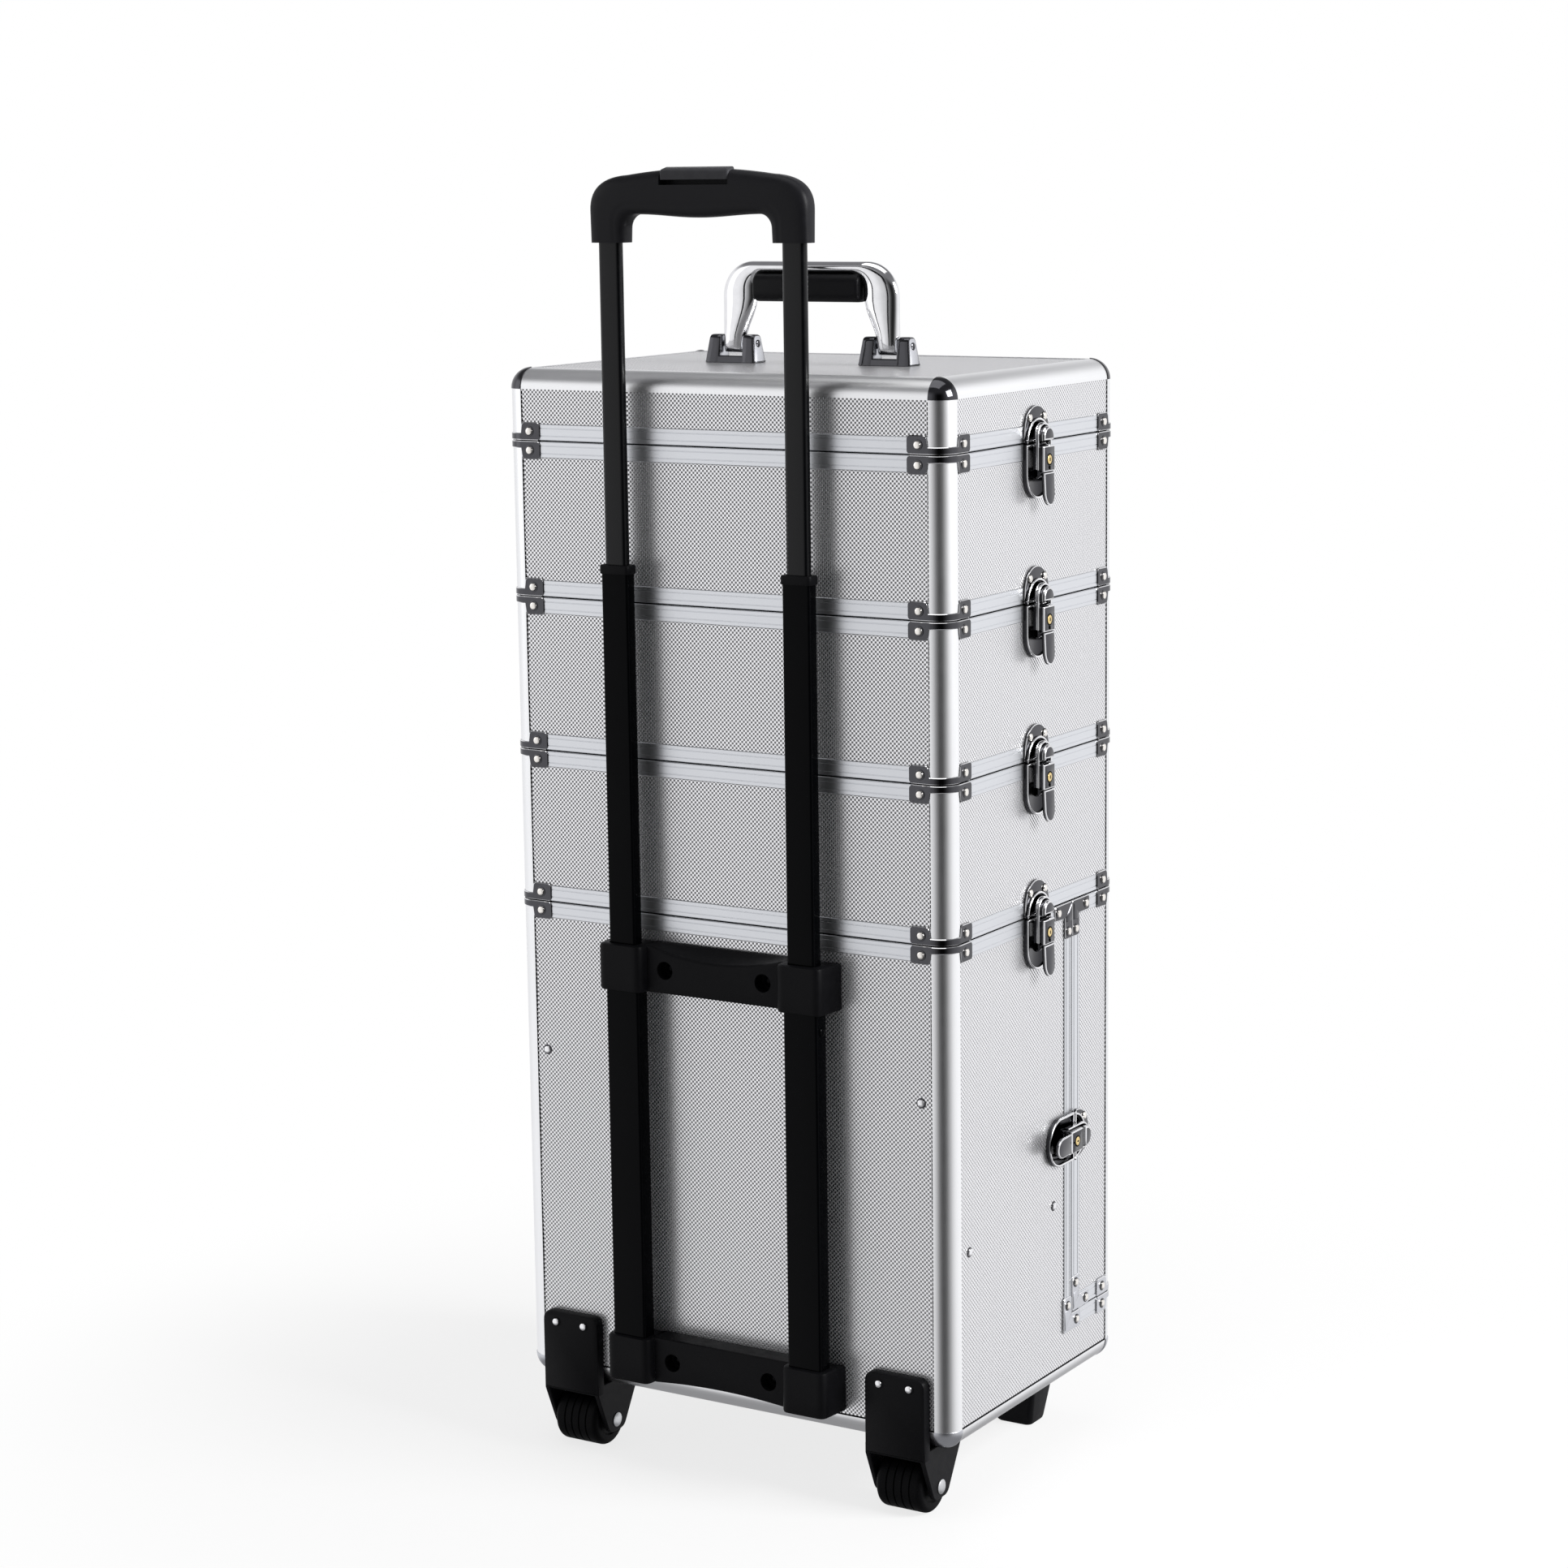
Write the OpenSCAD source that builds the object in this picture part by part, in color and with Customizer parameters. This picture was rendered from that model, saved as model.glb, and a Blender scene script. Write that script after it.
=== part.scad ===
// Rolling makeup case: a wheeled base with a front door, three lift-off trays and a lid,
// a carry handle on top, draw latches on both narrow sides and a three-stage trolley handle on the back.
// Front faces -Y, back with the trolley faces +Y, the floor is at Z = 0.

/* [Case] */
// Width of the case across the narrow sides
case_w = 340; // [320:1:380]
// Depth of the case from front to back
case_d = 237; // [225:1:270]
// Height of the base section
base_h = 341; // [325:1:380]
// Height of each tray section
tier_h = 105; // [95:1:130]
// Height of the lid section
lid_h = 48; // [42:1:70]
// Gap at the split between two sections
split_gap = 0.8; // [0.6:0.1:1.4]

/* [Panels, rails and strips] */
// Thickness of the wall panels
panel_t = 4; // [3:0.5:4]
// How far the panels lie behind the outer face of the rails
panel_recess = 0.6; // [0.3:0.1:0.9]
// Radius of the quarter-round edge rails
rail_r = 13.6; // [11:0.2:16]
// Wall of the edge rails
rail_t = 1.8; // [1.2:0.1:2.4]
// Thickness of the rail webs that close the panel edges
web_t = 1.2; // [0.8:0.1:2]
// Height of the edge strips along each split
strip_h = 11; // [9:0.5:13]
// Thickness of the edge strips
strip_t = 5; // [5:0.5:7]
// Height of the locating tongue on the strips
tongue_h = 2; // [1:0.5:3]
// Thickness of the locating tongue
tongue_t = 1.4; // [1:0.1:1.6]
// Clearance of the tongue in its groove
tongue_clear = 0.3; // [0.2:0.05:0.4]
// Thickness of the tray floors
floor_t = 4; // [3:0.5:5]
// Height of a tray floor above the lower edge of the tray
floor_up = 3; // [2.8:0.1:5]
// Gap between extrusions that butt together
butt_gap = 0.1; // [0.05:0.05:0.2]

/* [Corner clamps and rivets] */
// Sheet thickness of clamps and plates
clamp_t = 0.8; // [0.6:0.1:1.2]
// Height of the clamp band round the corner
band_h = 4.6; // [3:0.2:7]
// Length of the clamp lugs along the walls
lug_l = 14; // [11:0.5:18]
// Height of the clamp lugs
lug_h = 12; // [9:0.5:14]
// Corner radius of the lugs
lug_r = 2; // [1:0.25:3]
// Radius of the rivet heads
rivet_r = 2.8; // [2:0.1:3.4]
// Height of the rivet heads
rivet_h = 1.5; // [1:0.1:2]
// How far the ball corners stand proud of the rails
ball_proud = 0.5; // [0.2:0.1:0.8]

/* [Door] */
// Depth of the door section from the front of the case
door_d = 66.5; // [55:0.5:75]
// Height of the sill below the door
sill_h = 49; // [42:1:60]
// Width of the upright strip on the base beside the door
base_upright_w = 10; // [9.5:0.5:14]
// Width of the upright strip on the door
door_upright_w = 12; // [9.5:0.5:14]
// Length of the arms of the L-plates
plate_arm = 25; // [20:1:28]
// Width of the arms of the L-plates
plate_w = 10; // [8:0.5:11]
// Radius of the hinge knuckles
knuckle_r = 2.6; // [2.2:0.1:3.2]
// Radius of the hinge pin
hinge_pin_r = 1.2; // [0.9:0.1:1.5]
// Thickness of the hinge leaves
leaf_t = 1.2; // [0.8:0.1:1.5]
// Width of each hinge leaf
leaf_w = 8; // [6:0.5:9]
// Number of hinge knuckles, odd
knuckles = 9; // [5:2:13]
// Length of the hinge left free at each end of the door
hinge_inset = 40; // [34:1:60]

/* [Latches] */
// Width of the latch plates
latch_w = 34; // [30:1:40]
// Thickness of the latch plates
latch_t = 1.2; // [0.8:0.1:1.5]
// Reach of the strike plate past the split
strike_l = 24; // [22:1:30]
// Reach of the base plate past the split
latch_base_l = 37; // [34:1:40]
// Width of the lever
lever_w = 15.5; // [13:0.5:18]
// Outer face of the lever above the wall
lever_out = 10.5; // [9.5:0.25:11.5]
// Inner face of the lever above the wall
lever_in = 4; // [3.5:0.25:4.5]
// Reach of the lever tail past the split
lever_l = 41; // [38:1:46]
// Length of the lock part of the lever
lock_l = 19; // [17:0.5:21]
// Height of the latch pivots above the wall
pivot_out = 5.2; // [5:0.1:5.4]
// Distance of the lever pivot below the split
pivot_down = 4; // [3.8:0.1:4.4]
// Distance between the lever pivot and the claw pivot
link_r = 16; // [14:0.5:18]
// Reach of the claw past the split
claw_up = 13; // [12:0.5:14]
// Thickness of the claw arms
claw_arm_t = 1.5; // [1.2:0.1:2]
// Radius of the latch pins
latch_pin_r = 1.2; // [1:0.05:1.4]
// Radius of the lock cylinder
lock_r = 3; // [2.4:0.1:3.6]
// Height of the door latch above the case bottom
door_latch_z = 176; // [140:1:240]

/* [Trolley] */
// Distance of each tube from the middle of the case
tube_x = 70; // [60:1:80]
// Distance of the tube axis behind the case
tube_out = 15.4; // [14:0.2:16]
// Width of the outer tubes
outer_w = 26; // [25:0.5:27]
// Depth of the outer tubes
outer_d = 12.4; // [12:0.2:12.8]
// Width of the middle tubes
middle_w = 21; // [20:0.5:21.5]
// Depth of the middle tubes
middle_d = 9.6; // [9.2:0.1:9.7]
// Width of the inner tubes
inner_w = 17; // [16:0.5:17.5]
// Depth of the inner tubes
inner_d = 7; // [6.6:0.1:7.1]
// Wall of the tubes
tube_t = 0.9; // [0.7:0.1:1]
// Height of the brackets
bracket_h = 32; // [28:1:40]
// Depth of the tube blocks on the brackets
bracket_d = 25; // [24:0.5:28]
// Depth of the bar between the blocks
bar_d = 16.5; // [12:0.5:20]
// Bottom of the lower bracket above the case bottom
lower_bracket_z = 17; // [15:1:30]
// Bottom of the upper bracket above the case bottom
upper_bracket_z = 291; // [270:1:300]
// Depth of the finger recess in the upper bracket
scoop = 8; // [4:0.5:12]
// Top of the extended middle tubes above the case bottom
middle_top = 578; // [570:1:585]
// Length of the middle tubes
middle_l = 288; // [280:1:300]
// Bottom of the grip above the case bottom at full extension
grip_z = 788; // [780:1:800]
// Length of the inner tubes
inner_l = 256; // [240:1:265]
// Height of the grip
grip_h = 47; // [42:1:54]
// Width of the grip
grip_w = 161; // [158:1:168]
// Depth of the grip along its bar
grip_d = 19; // [17:0.5:19]
// Depth of the grip legs at their lower end
leg_d = 15; // [12:0.5:17]
// Width of the grip legs
leg_w = 22; // [20:0.5:24]
// Length of the push button
button_l = 52; // [40:1:60]
// Depth of the push button
button_d = 9; // [7:0.5:11]
// Travel of the push button
button_travel = 3; // [2:0.5:4]

/* [Wheels and feet] */
// Radius of the wheels
wheel_r = 19; // [17:0.5:22]
// Width of the wheels
wheel_w = 35; // [30:1:38]
// Radius of the wheel hubs
hub_r = 8; // [6.5:0.5:10]
// Radius of the axles
axle_r = 3; // [2.5:0.1:3.5]
// Distance of the axles below the case bottom
axle_drop = 29.5; // [27:0.5:34]
// Distance of the axles in front of the case back
axle_in = 15.5; // [12:0.5:20]
// Distance of the wheels from the middle of the case
wheel_x = 130; // [125:1:132]
// Thickness of the housing cheeks
cheek_t = 3.5; // [2.5:0.5:4.5]
// Side clearance of the wheel in its housing
wheel_side = 2; // [1:0.5:3]
// Thickness of the housing plate on the back
plate_t = 7; // [5:0.5:9]
// Height of the housing plate above the case bottom
plate_up = 50; // [40:1:55]
// Width of the front feet at the floor
foot_w = 28; // [22:1:36]
// Depth of the front feet at the floor
foot_d = 22; // [18:1:30]
// Distance of each foot from the middle of the case
foot_x = 113; // [90:1:130]
// Distance of the feet behind the front of the case
foot_in = 35; // [28:1:60]
// How much the feet widen on each side towards the case
foot_flare = 6; // [3:0.5:9]
// How much the feet widen at the front towards the case
foot_front = 12; // [6:0.5:14]
// How much the feet widen at the back towards the case
foot_back = 3; // [0:0.5:8]

/* [Carry handle] */
// Distance of each handle clevis from the middle of the lid
clevis_x = 60.5; // [55:0.5:68]
// Width of each clevis
clevis_w = 35; // [32:0.5:40]
// Depth of each clevis
clevis_d = 15; // [13:0.5:20]
// Height of each clevis
clevis_h = 18.5; // [17:0.5:22]
// Height of the handle pins above the lid
handle_pin_up = 12.3; // [11.5:0.1:13]
// Radius of the handle pins
handle_pin_r = 2; // [1.5:0.1:2.5]
// Width of the handle arms
arm_w = 16; // [14:0.5:18]
// Side clearance of the handle arms in the clevises
arm_side = 1; // [0.6:0.1:1.5]
// Depth of the handle bow
bow_d = 12; // [10:0.5:14]
// Height of the handle above the lid
handle_up = 68; // [62:1:80]
// Thickness of the top of the bow
bow_t = 8; // [6:0.5:10]
// Length of the black grip on the bow
carry_grip_l = 91; // [70:1:95]
// Height of the black grip
carry_grip_h = 19; // [16:0.5:22]
// Depth of the black grip
carry_grip_d = 18; // [15:0.5:19]

/* [Inside the base] */
// Height of the shelf runners above the case bottom
runner_z = 132; // [110:1:180]
// Size of the shelf runners
runner_s = 8; // [6:0.5:12]
// Thickness of the shelf
shelf_t = 6; // [4:0.5:9]
// Height of the elastic strap above the case bottom
strap_z = 236; // [210:1:260]
// Width of the elastic strap
strap_w = 24; // [16:1:30]
// Thickness of the elastic strap
strap_t = 1.5; // [1:0.25:2.5]

/* [Hidden] */
$fn = 48;
// Radial clearance of pins in their bores
pin_clear = 0.05;
// Clearance between a piece and the seat that holds it
seat = 0.05;
// Clearance between sliding or swinging pieces
slack = 0.3;
half_w = case_w / 2;
half_d = case_d / 2;
half_gap = split_gap / 2;
// Ends of panels and of strips between the corner rails
panel_x = half_w - rail_r;
panel_y = half_d - rail_r;
strip_x = panel_x - butt_gap;
strip_y = panel_y - butt_gap;
// Levels of the splits above the case bottom
lower_z = base_h;
middle_z = base_h + tier_h;
top_z = base_h + 2 * tier_h;
lid_z = base_h + 3 * tier_h;
case_h = lid_z + lid_h;
door_y = door_d - half_d;
lift = axle_drop + wheel_r;
inner_face = panel_recess + panel_t;
// Moves the whole so that its origin lies midway between the rivets in front and the tube blocks behind
y_shift = (clamp_t + rivet_h - bracket_d) / 2;
// Latch details that follow from the driving sizes
lever_top = 0.5;
lug_half = 2;
neck_half = 2.2;
eye_r = 2.6;
claw_w = lever_w + 2 * (slack + claw_arm_t);
claw_in = 3.2;
claw_out = 2 * pivot_out - claw_in;
claw_seam = 1.2;
// Rivets of the latch plates: distance from the middle and from the round end
strike_rivet_y = 10.2;
strike_rivet_in = 7.6;
base_rivet_y = 11.9;
base_rivet_in = 10.2;
// Lock below the split, its depth in the lever and how far it stands proud
lock_down = 11;
lock_in = 4;
lock_proud = 0.4;
// Barrels of the lever about its pivot and about the claw pivot
pivot_barrel_r = 3.2;
claw_barrel_r = 3;
// Thickness of the lever tail and how far its end leans out
tail_t = 2.6;
tail_end_t = 1.9;
tail_lean = 1;
// Places of the door hinge and of the strap rivets
hinge_x = half_w + knuckle_r + slack;
// Distance of the strap rivets from the ends of the back panel
strap_rivet_in = 8.4;
hinge_z0 = sill_h + hinge_inset;
hinge_z1 = base_h - hinge_inset;
knuckle_l = (hinge_z1 - hinge_z0) / knuckles;
// Screws of the trolley brackets and their recesses
screw_x = 38.5;
recess_r = 6.2;
recess_d = 9;
screw_r = 2.2;
screw_head_r = 4.4;
screw_head_h = 2.6;
// Trolley details
bracket_end = 2;
// Thickness of the upper bar that the finger recess leaves whole, and rise of the arch under the lower bar
bar_back = 4;
arch = 2.6;
// Least length that a tube stays inside the next one
tube_overlap = 12;
middle_bottom = min(middle_top - middle_l, upper_bracket_z + bracket_h - tube_overlap);
grip_tube_in = 13;
inner_bottom = min(grip_z + grip_tube_in - inner_l, middle_top - tube_overlap);
// Corner radii of the grip, outside and inside
grip_corner = 24;
grip_inner_r = 9;
block_w = outer_w + 7;
block_flare = 2.8;
block_round = 6;
collar_h = 6;
collar_lip = 1;
tube_round = 2;
tube_y = half_d + tube_out;
grip_under = 18;
grip_crown = 9;
button_h = 8;
button_proud = 1;
button_y = tube_y + grip_d / 2 - 1 - button_d;
pin_head_r = 3;
pin_head_down = 12;
// Wheel housing details
housing_w = wheel_w + 2 * (wheel_side + cheek_t);
cheek_front = 44;
cheek_r = 8;
axle_y = half_d - axle_in;
wheel_groove = 1.2;
groove_pitch = 5.8;
wheel_edge = 4;
axle_head_r = 5;
// How far the housing plate hangs below the case, its corner radius and the cover under the case
plate_down = 7;
plate_round = 7;
cover_t = 4;
foot_y = foot_in - half_d;
// Carry handle details
arm_gap = arm_w + 2 * arm_side;
arm_eye = 7.5;
trough_up = 4.2;
clevis_top_d = 9;
bow_outer_r = 24;
bow_inner_r = 10;
carry_round = 6;

// Shared shapes

// Box between two opposite corners
module box(a, b) {
    translate(a) cube(b - a);
}

// Rectangle with round corners, centred
module round_rect(w, d, r) {
    square([w - 2 * r, d], center = true);
    square([w, d - 2 * r], center = true);
    for (sx = [-1, 1], sy = [-1, 1])
        translate([sx * (w / 2 - r), sy * (d / 2 - r)]) circle(r);
}

// Low spherical dome standing on Z = 0
module dome(r, h) {
    ball = (r * r + h * h) / (2 * h);
    rotate_extrude() intersection() {
        translate([0, h - ball]) circle(ball);
        square([r, h]);
    }
}

module rivet() {
    dome(rivet_r, rivet_h);
}

// Flat shape in the YZ plane, raised along +X
module raise_x(h) {
    rotate([90, 0, 90]) linear_extrude(h) children();
}

// Flat shape in the XZ plane, with its thickness centred along Y
module across_y(w) {
    rotate([90, 0, 0]) linear_extrude(w, center = true) children();
}

// Box on a wall by its ends, levels and depths; the walls are 0 back, 1 left, 2 front, 3 right
module on_wall(wall, a0, a1, z0, z1, d0, d1) {
    if (wall == 0) box([a0, half_d - d1, z0], [a1, half_d - d0, z1]);
    if (wall == 1) box([d0 - half_w, a0, z0], [d1 - half_w, a1, z1]);
    if (wall == 2) box([a0, d0 - half_d, z0], [a1, d1 - half_d, z1]);
    if (wall == 3) box([half_w - d1, a0, z0], [half_w - d0, a1, z1]);
}

function wall_end(wall, along_x, along_y) = wall % 2 == 0 ? along_x : along_y;

module wall_panel(wall, a0, a1, z0, z1) {
    on_wall(wall, a0, a1, z0, z1, panel_recess, inner_face);
}

module strip(wall, a0, a1, z0, z1) {
    on_wall(wall, a0, a1, z0, z1, 0, strip_t);
}

// Strip along a split: the lower one carries a tongue, the upper one a groove for it
module lower_strip(wall, a0, a1, z) {
    mid = strip_t / 2;
    strip(wall, a0, a1, z - strip_h, z);
    on_wall(wall, a0 + strip_h, a1 - strip_h, z - 1, z + tongue_h,
        mid - tongue_t / 2, mid + tongue_t / 2);
}

module upper_strip(wall, a0, a1, z) {
    mid = strip_t / 2;
    groove = tongue_t / 2 + tongue_clear;
    difference() {
        strip(wall, a0, a1, z, z + strip_h);
        on_wall(wall, a0 - 1, a1 + 1, z - 1, z + tongue_h + tongue_clear, mid - groove, mid + groove);
    }
}

// Corners are numbered round from back right; each is a quarter turn of the first
function corner_x(k) = (k == 0 || k == 3 ? 1 : -1) * panel_x;
function corner_y(k) = (k < 2 ? 1 : -1) * panel_y;
function quarter_turn(su, sv) = su > 0 ? (sv > 0 ? 0 : 270) : (sv > 0 ? 90 : 180);

module rail_profile() {
    difference() {
        intersection() {
            circle(rail_r);
            square(rail_r);
        }
        circle(rail_r - rail_t);
    }
    translate([0, rail_r - strip_t]) square([web_t, strip_t - rail_t / 2]);
    translate([rail_r - strip_t, 0]) square([strip_t - rail_t / 2, web_t]);
}

module corner_rails(z0, z1, corners) {
    for (k = corners)
        translate([corner_x(k), corner_y(k), z0]) rotate(90 * k) linear_extrude(z1 - z0) rail_profile();
}

// Four rails round the outer edge at level z, above (side 1) or below (side -1) the walls
module edge_rails(z, side) {
    for (s = [-1, 1]) {
        translate([-strip_x, s * panel_y, z - side * rail_r])
            raise_x(2 * strip_x) rotate(quarter_turn(s, side)) rail_profile();
        translate([s * panel_x, 0, z - side * rail_r])
            across_y(2 * strip_y) rotate(quarter_turn(s, side)) rail_profile();
    }
}

// Ball corners that close the ends of the edge rails
module ball_corners(z, side) {
    ball = rail_r + ball_proud;
    for (k = [0:3])
        translate([corner_x(k), corner_y(k), z - side * rail_r]) rotate(90 * k) intersection() {
            sphere(ball);
            translate([0, 0, side > 0 ? 0 : -ball]) cube(ball);
        }
}

// Sheet clamp round corner k: it rises from level z (way 1) or hangs below it (way -1)
module corner_clamp(k, z, way) {
    lug_z = z + way * lug_h / 2;
    band_z = way > 0 ? z : z - band_h;
    lug_mid = lug_l / 2;
    translate([corner_x(k), corner_y(k), 0]) rotate(90 * k) {
        translate([0, 0, band_z]) linear_extrude(band_h) difference() {
            intersection() {
                circle(rail_r + clamp_t);
                square(rail_r + clamp_t);
            }
            circle(rail_r + seat);
        }
        translate([-lug_mid, rail_r + clamp_t / 2, lug_z])
            across_y(clamp_t) round_rect(lug_l + 2, lug_h, lug_r);
        translate([rail_r, -lug_mid, lug_z]) raise_x(clamp_t) round_rect(lug_l + 2, lug_h, lug_r);
        translate([-lug_mid, rail_r + clamp_t, lug_z]) rotate([-90, 0, 0]) rivet();
        translate([rail_r + clamp_t, -lug_mid, lug_z]) rotate([0, 90, 0]) rivet();
    }
}

// L-plate on both narrow sides, from the corner at (y, z), with its arms towards wy and wz
module corner_plates(y, z, wy, wz, w, arm) {
    arms_y = [y, y + wy * arm];
    arms_z = [z, z + wz * arm];
    wide_y = [y, y + wy * w];
    wide_z = [z, z + wz * w];
    for (wall = [1, 3]) {
        s = wall == 1 ? -1 : 1;
        on_wall(wall, min(arms_y), max(arms_y), min(wide_z), max(wide_z), -clamp_t, 0);
        on_wall(wall, min(wide_y), max(wide_y), min(arms_z), max(arms_z), -clamp_t, 0);
        for (p = [[arm - w / 2, w / 2], [w / 2, arm - w / 2]])
            translate([s * (half_w + clamp_t), y + wy * p[0], z + wz * p[1]]) rotate([0, s * 90, 0]) rivet();
    }
}

// Latch pieces: +X away from the wall, +Z from the base plate towards the strike, the split at Z = 0

// Outline with a round far end, from level z0 to z1
module round_end(w, z0, z1) {
    r = w / 2;
    way = z1 > z0 ? 1 : -1;
    near = min(z0, z1 - way * r);
    translate([-r, near]) square([w, max(z0, z1 - way * r) - near]);
    translate([0, z1 - way * r]) circle(r);
}

module latch_strike() {
    plate_r = latch_w / 2;
    intersection() {
        raise_x(latch_t) round_end(latch_w, split_gap, strike_l);
        translate([0, -plate_r, split_gap]) cube([latch_t, latch_w, strike_l]);
    }
    for (s = [-1, 1])
        translate([latch_t, s * strike_rivet_y, strike_l - strike_rivet_in]) rotate([0, 90, 0]) rivet();
}

module latch_base() {
    plate_r = latch_w / 2;
    intersection() {
        raise_x(latch_t) round_end(latch_w, -split_gap, -latch_base_l);
        translate([0, -plate_r, -latch_base_l]) cube([latch_t, latch_w, latch_base_l - split_gap]);
    }
    across_y(2 * lug_half) {
        translate([0, -pivot_down - neck_half]) square([pivot_out, 2 * neck_half]);
        translate([pivot_out, -pivot_down]) circle(eye_r);
    }
    translate([pivot_out, 0, -pivot_down]) rotate([90, 0, 0])
        cylinder(r = latch_pin_r, h = lever_w - 1, center = true);
    for (s = [-1, 1])
        translate([latch_t, s * base_rivet_y, base_rivet_in - latch_base_l]) rotate([0, 90, 0]) rivet();
}

module latch_lever() {
    claw_pin_z = -pivot_down - link_r;
    tail_in = lever_out - tail_t;
    tail_out = lever_out + tail_lean;
    color([0.62, 0.63, 0.65]) {
        difference() {
            intersection() {
                across_y(lever_w) {
                    translate([lever_in, -lock_l]) square([lever_out - lever_in, lock_l - lever_top]);
                    translate([pivot_out, -pivot_down]) circle(pivot_barrel_r);
                    translate([pivot_out, claw_pin_z]) circle(claw_barrel_r);
                    polygon([[tail_in, lever_top - lock_l], [lever_out, -lock_l], [tail_out, -lever_l],
                        [tail_out - tail_end_t, -lever_l]]);
                }
                raise_x(tail_out + 1) round_end(lever_w, -lever_top, -lever_l);
            }
            translate([0, -lug_half - slack, -pivot_down - eye_r - slack])
                cube([pivot_out + eye_r + slack, 2 * (lug_half + slack), pivot_down + eye_r + slack]);
            translate([pivot_out, 0, -pivot_down]) rotate([90, 0, 0])
                cylinder(r = latch_pin_r + pin_clear, h = lever_w + 1, center = true);
            translate([lever_out - lock_in, 0, -lock_down]) rotate([0, 90, 0])
                cylinder(r = lock_r + seat, h = lock_in + 1);
        }
        translate([pivot_out, 0, claw_pin_z]) rotate([90, 0, 0])
            cylinder(r = latch_pin_r, h = claw_w - 0.2, center = true);
    }
    color([0.78, 0.62, 0.3]) translate([lever_out - lock_in + seat, 0, -lock_down]) rotate([0, 90, 0])
        cylinder(r = lock_r, h = lock_in + lock_proud);
}

module latch_claw() {
    claw_pin_z = -pivot_down - link_r;
    color([0.66, 0.67, 0.69]) difference() {
        union() {
            intersection() {
                translate([claw_in, 0, 0]) raise_x(claw_out - claw_in)
                    round_end(claw_w, claw_pin_z - pivot_out, claw_up);
                across_y(claw_w) {
                    translate([pivot_out, claw_pin_z]) circle(pivot_out - claw_in);
                    translate([claw_in, claw_pin_z]) square([claw_out - claw_in, claw_up - claw_pin_z]);
                }
            }
            translate([claw_in, 0, 0]) raise_x(lever_out - claw_in)
                round_end(lever_w, claw_seam, claw_up - (claw_w - lever_w) / 2);
        }
        translate([0, -lever_w / 2 - slack, claw_pin_z - lock_l])
            cube([lever_out, lever_w + 2 * slack, lock_l - claw_pin_z + claw_seam]);
        translate([pivot_out, 0, claw_pin_z]) rotate([90, 0, 0])
            cylinder(r = latch_pin_r + pin_clear, h = claw_w + 1, center = true);
    }
}

// Side 1 is the right wall, side -1 the left wall
module at_side_latch(z, side) {
    translate([side * half_w, 0, z]) rotate(side > 0 ? 0 : 180) children();
}

module at_door_latch() {
    translate([-half_w, door_y, door_latch_z]) rotate([90, 0, 0]) rotate(180) children();
}

// The pieces of one tray, from its lower split at level z
module tray_panels(z) {
    z0 = z + half_gap;
    z1 = z + tier_h - half_gap;
    notch = rail_r - strip_t + slack;
    color([0.78, 0.79, 0.81]) {
        for (wall = [0:3]) {
            a = wall_end(wall, panel_x, panel_y);
            wall_panel(wall, -a, a, z0 + strip_h, z1 - strip_h);
        }
        translate([0, 0, z0 + floor_up]) linear_extrude(floor_t) difference() {
            square([case_w - 2 * strip_t, case_d - 2 * strip_t], center = true);
            for (sx = [-1, 1], sy = [-1, 1])
                translate([sx * (half_w - strip_t), sy * (half_d - strip_t)])
                    square(2 * notch, center = true);
        }
    }
}

module tray_frame(z) {
    z0 = z + half_gap;
    z1 = z + tier_h - half_gap;
    color([0.82, 0.82, 0.83]) {
        corner_rails(z0, z1, [0:3]);
        for (wall = [0:3]) {
            a = wall_end(wall, strip_x, strip_y);
            upper_strip(wall, -a, a, z0);
            lower_strip(wall, -a, a, z1);
        }
    }
}

module tray_hardware(z) {
    color([0.62, 0.63, 0.65]) {
        for (k = [0:3]) {
            corner_clamp(k, z + half_gap, 1);
            corner_clamp(k, z + tier_h - half_gap, -1);
        }
        for (side = [-1, 1]) {
            at_side_latch(z, side) latch_strike();
            at_side_latch(z + tier_h, side) latch_base();
        }
    }
}

// Base

module base_panels() {
    upper = base_h - half_gap - strip_h;
    sill_top = sill_h - half_gap - strip_h;
    split = door_y + half_gap + base_upright_w;
    color([0.78, 0.79, 0.81]) {
        wall_panel(0, -panel_x, panel_x, rail_r, upper);
        wall_panel(2, -panel_x, panel_x, rail_r, sill_top);
        for (wall = [1, 3]) {
            wall_panel(wall, split, panel_y, rail_r, upper);
            wall_panel(wall, -panel_y, split - butt_gap, rail_r, sill_top);
        }
        box([-panel_x, -panel_y, panel_recess], [panel_x, panel_y, inner_face]);
    }
}

module base_frame() {
    top = base_h - half_gap;
    sill = sill_h - half_gap;
    split = door_y + half_gap;
    color([0.82, 0.82, 0.83]) {
        corner_rails(rail_r + butt_gap, top, [0, 1]);
        corner_rails(rail_r + butt_gap, sill, [2, 3]);
        edge_rails(0, -1);
        lower_strip(0, -strip_x, strip_x, top);
        strip(2, -strip_x, strip_x, sill - strip_h, sill);
        for (wall = [1, 3]) {
            lower_strip(wall, split, strip_y, top);
            strip(wall, split, split + base_upright_w, sill + butt_gap, top - strip_h - butt_gap);
            strip(wall, -strip_y, split + base_upright_w, sill - strip_h, sill);
        }
    }
}

module base_corners() {
    color([0.75, 0.76, 0.78]) ball_corners(0, -1);
}

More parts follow.
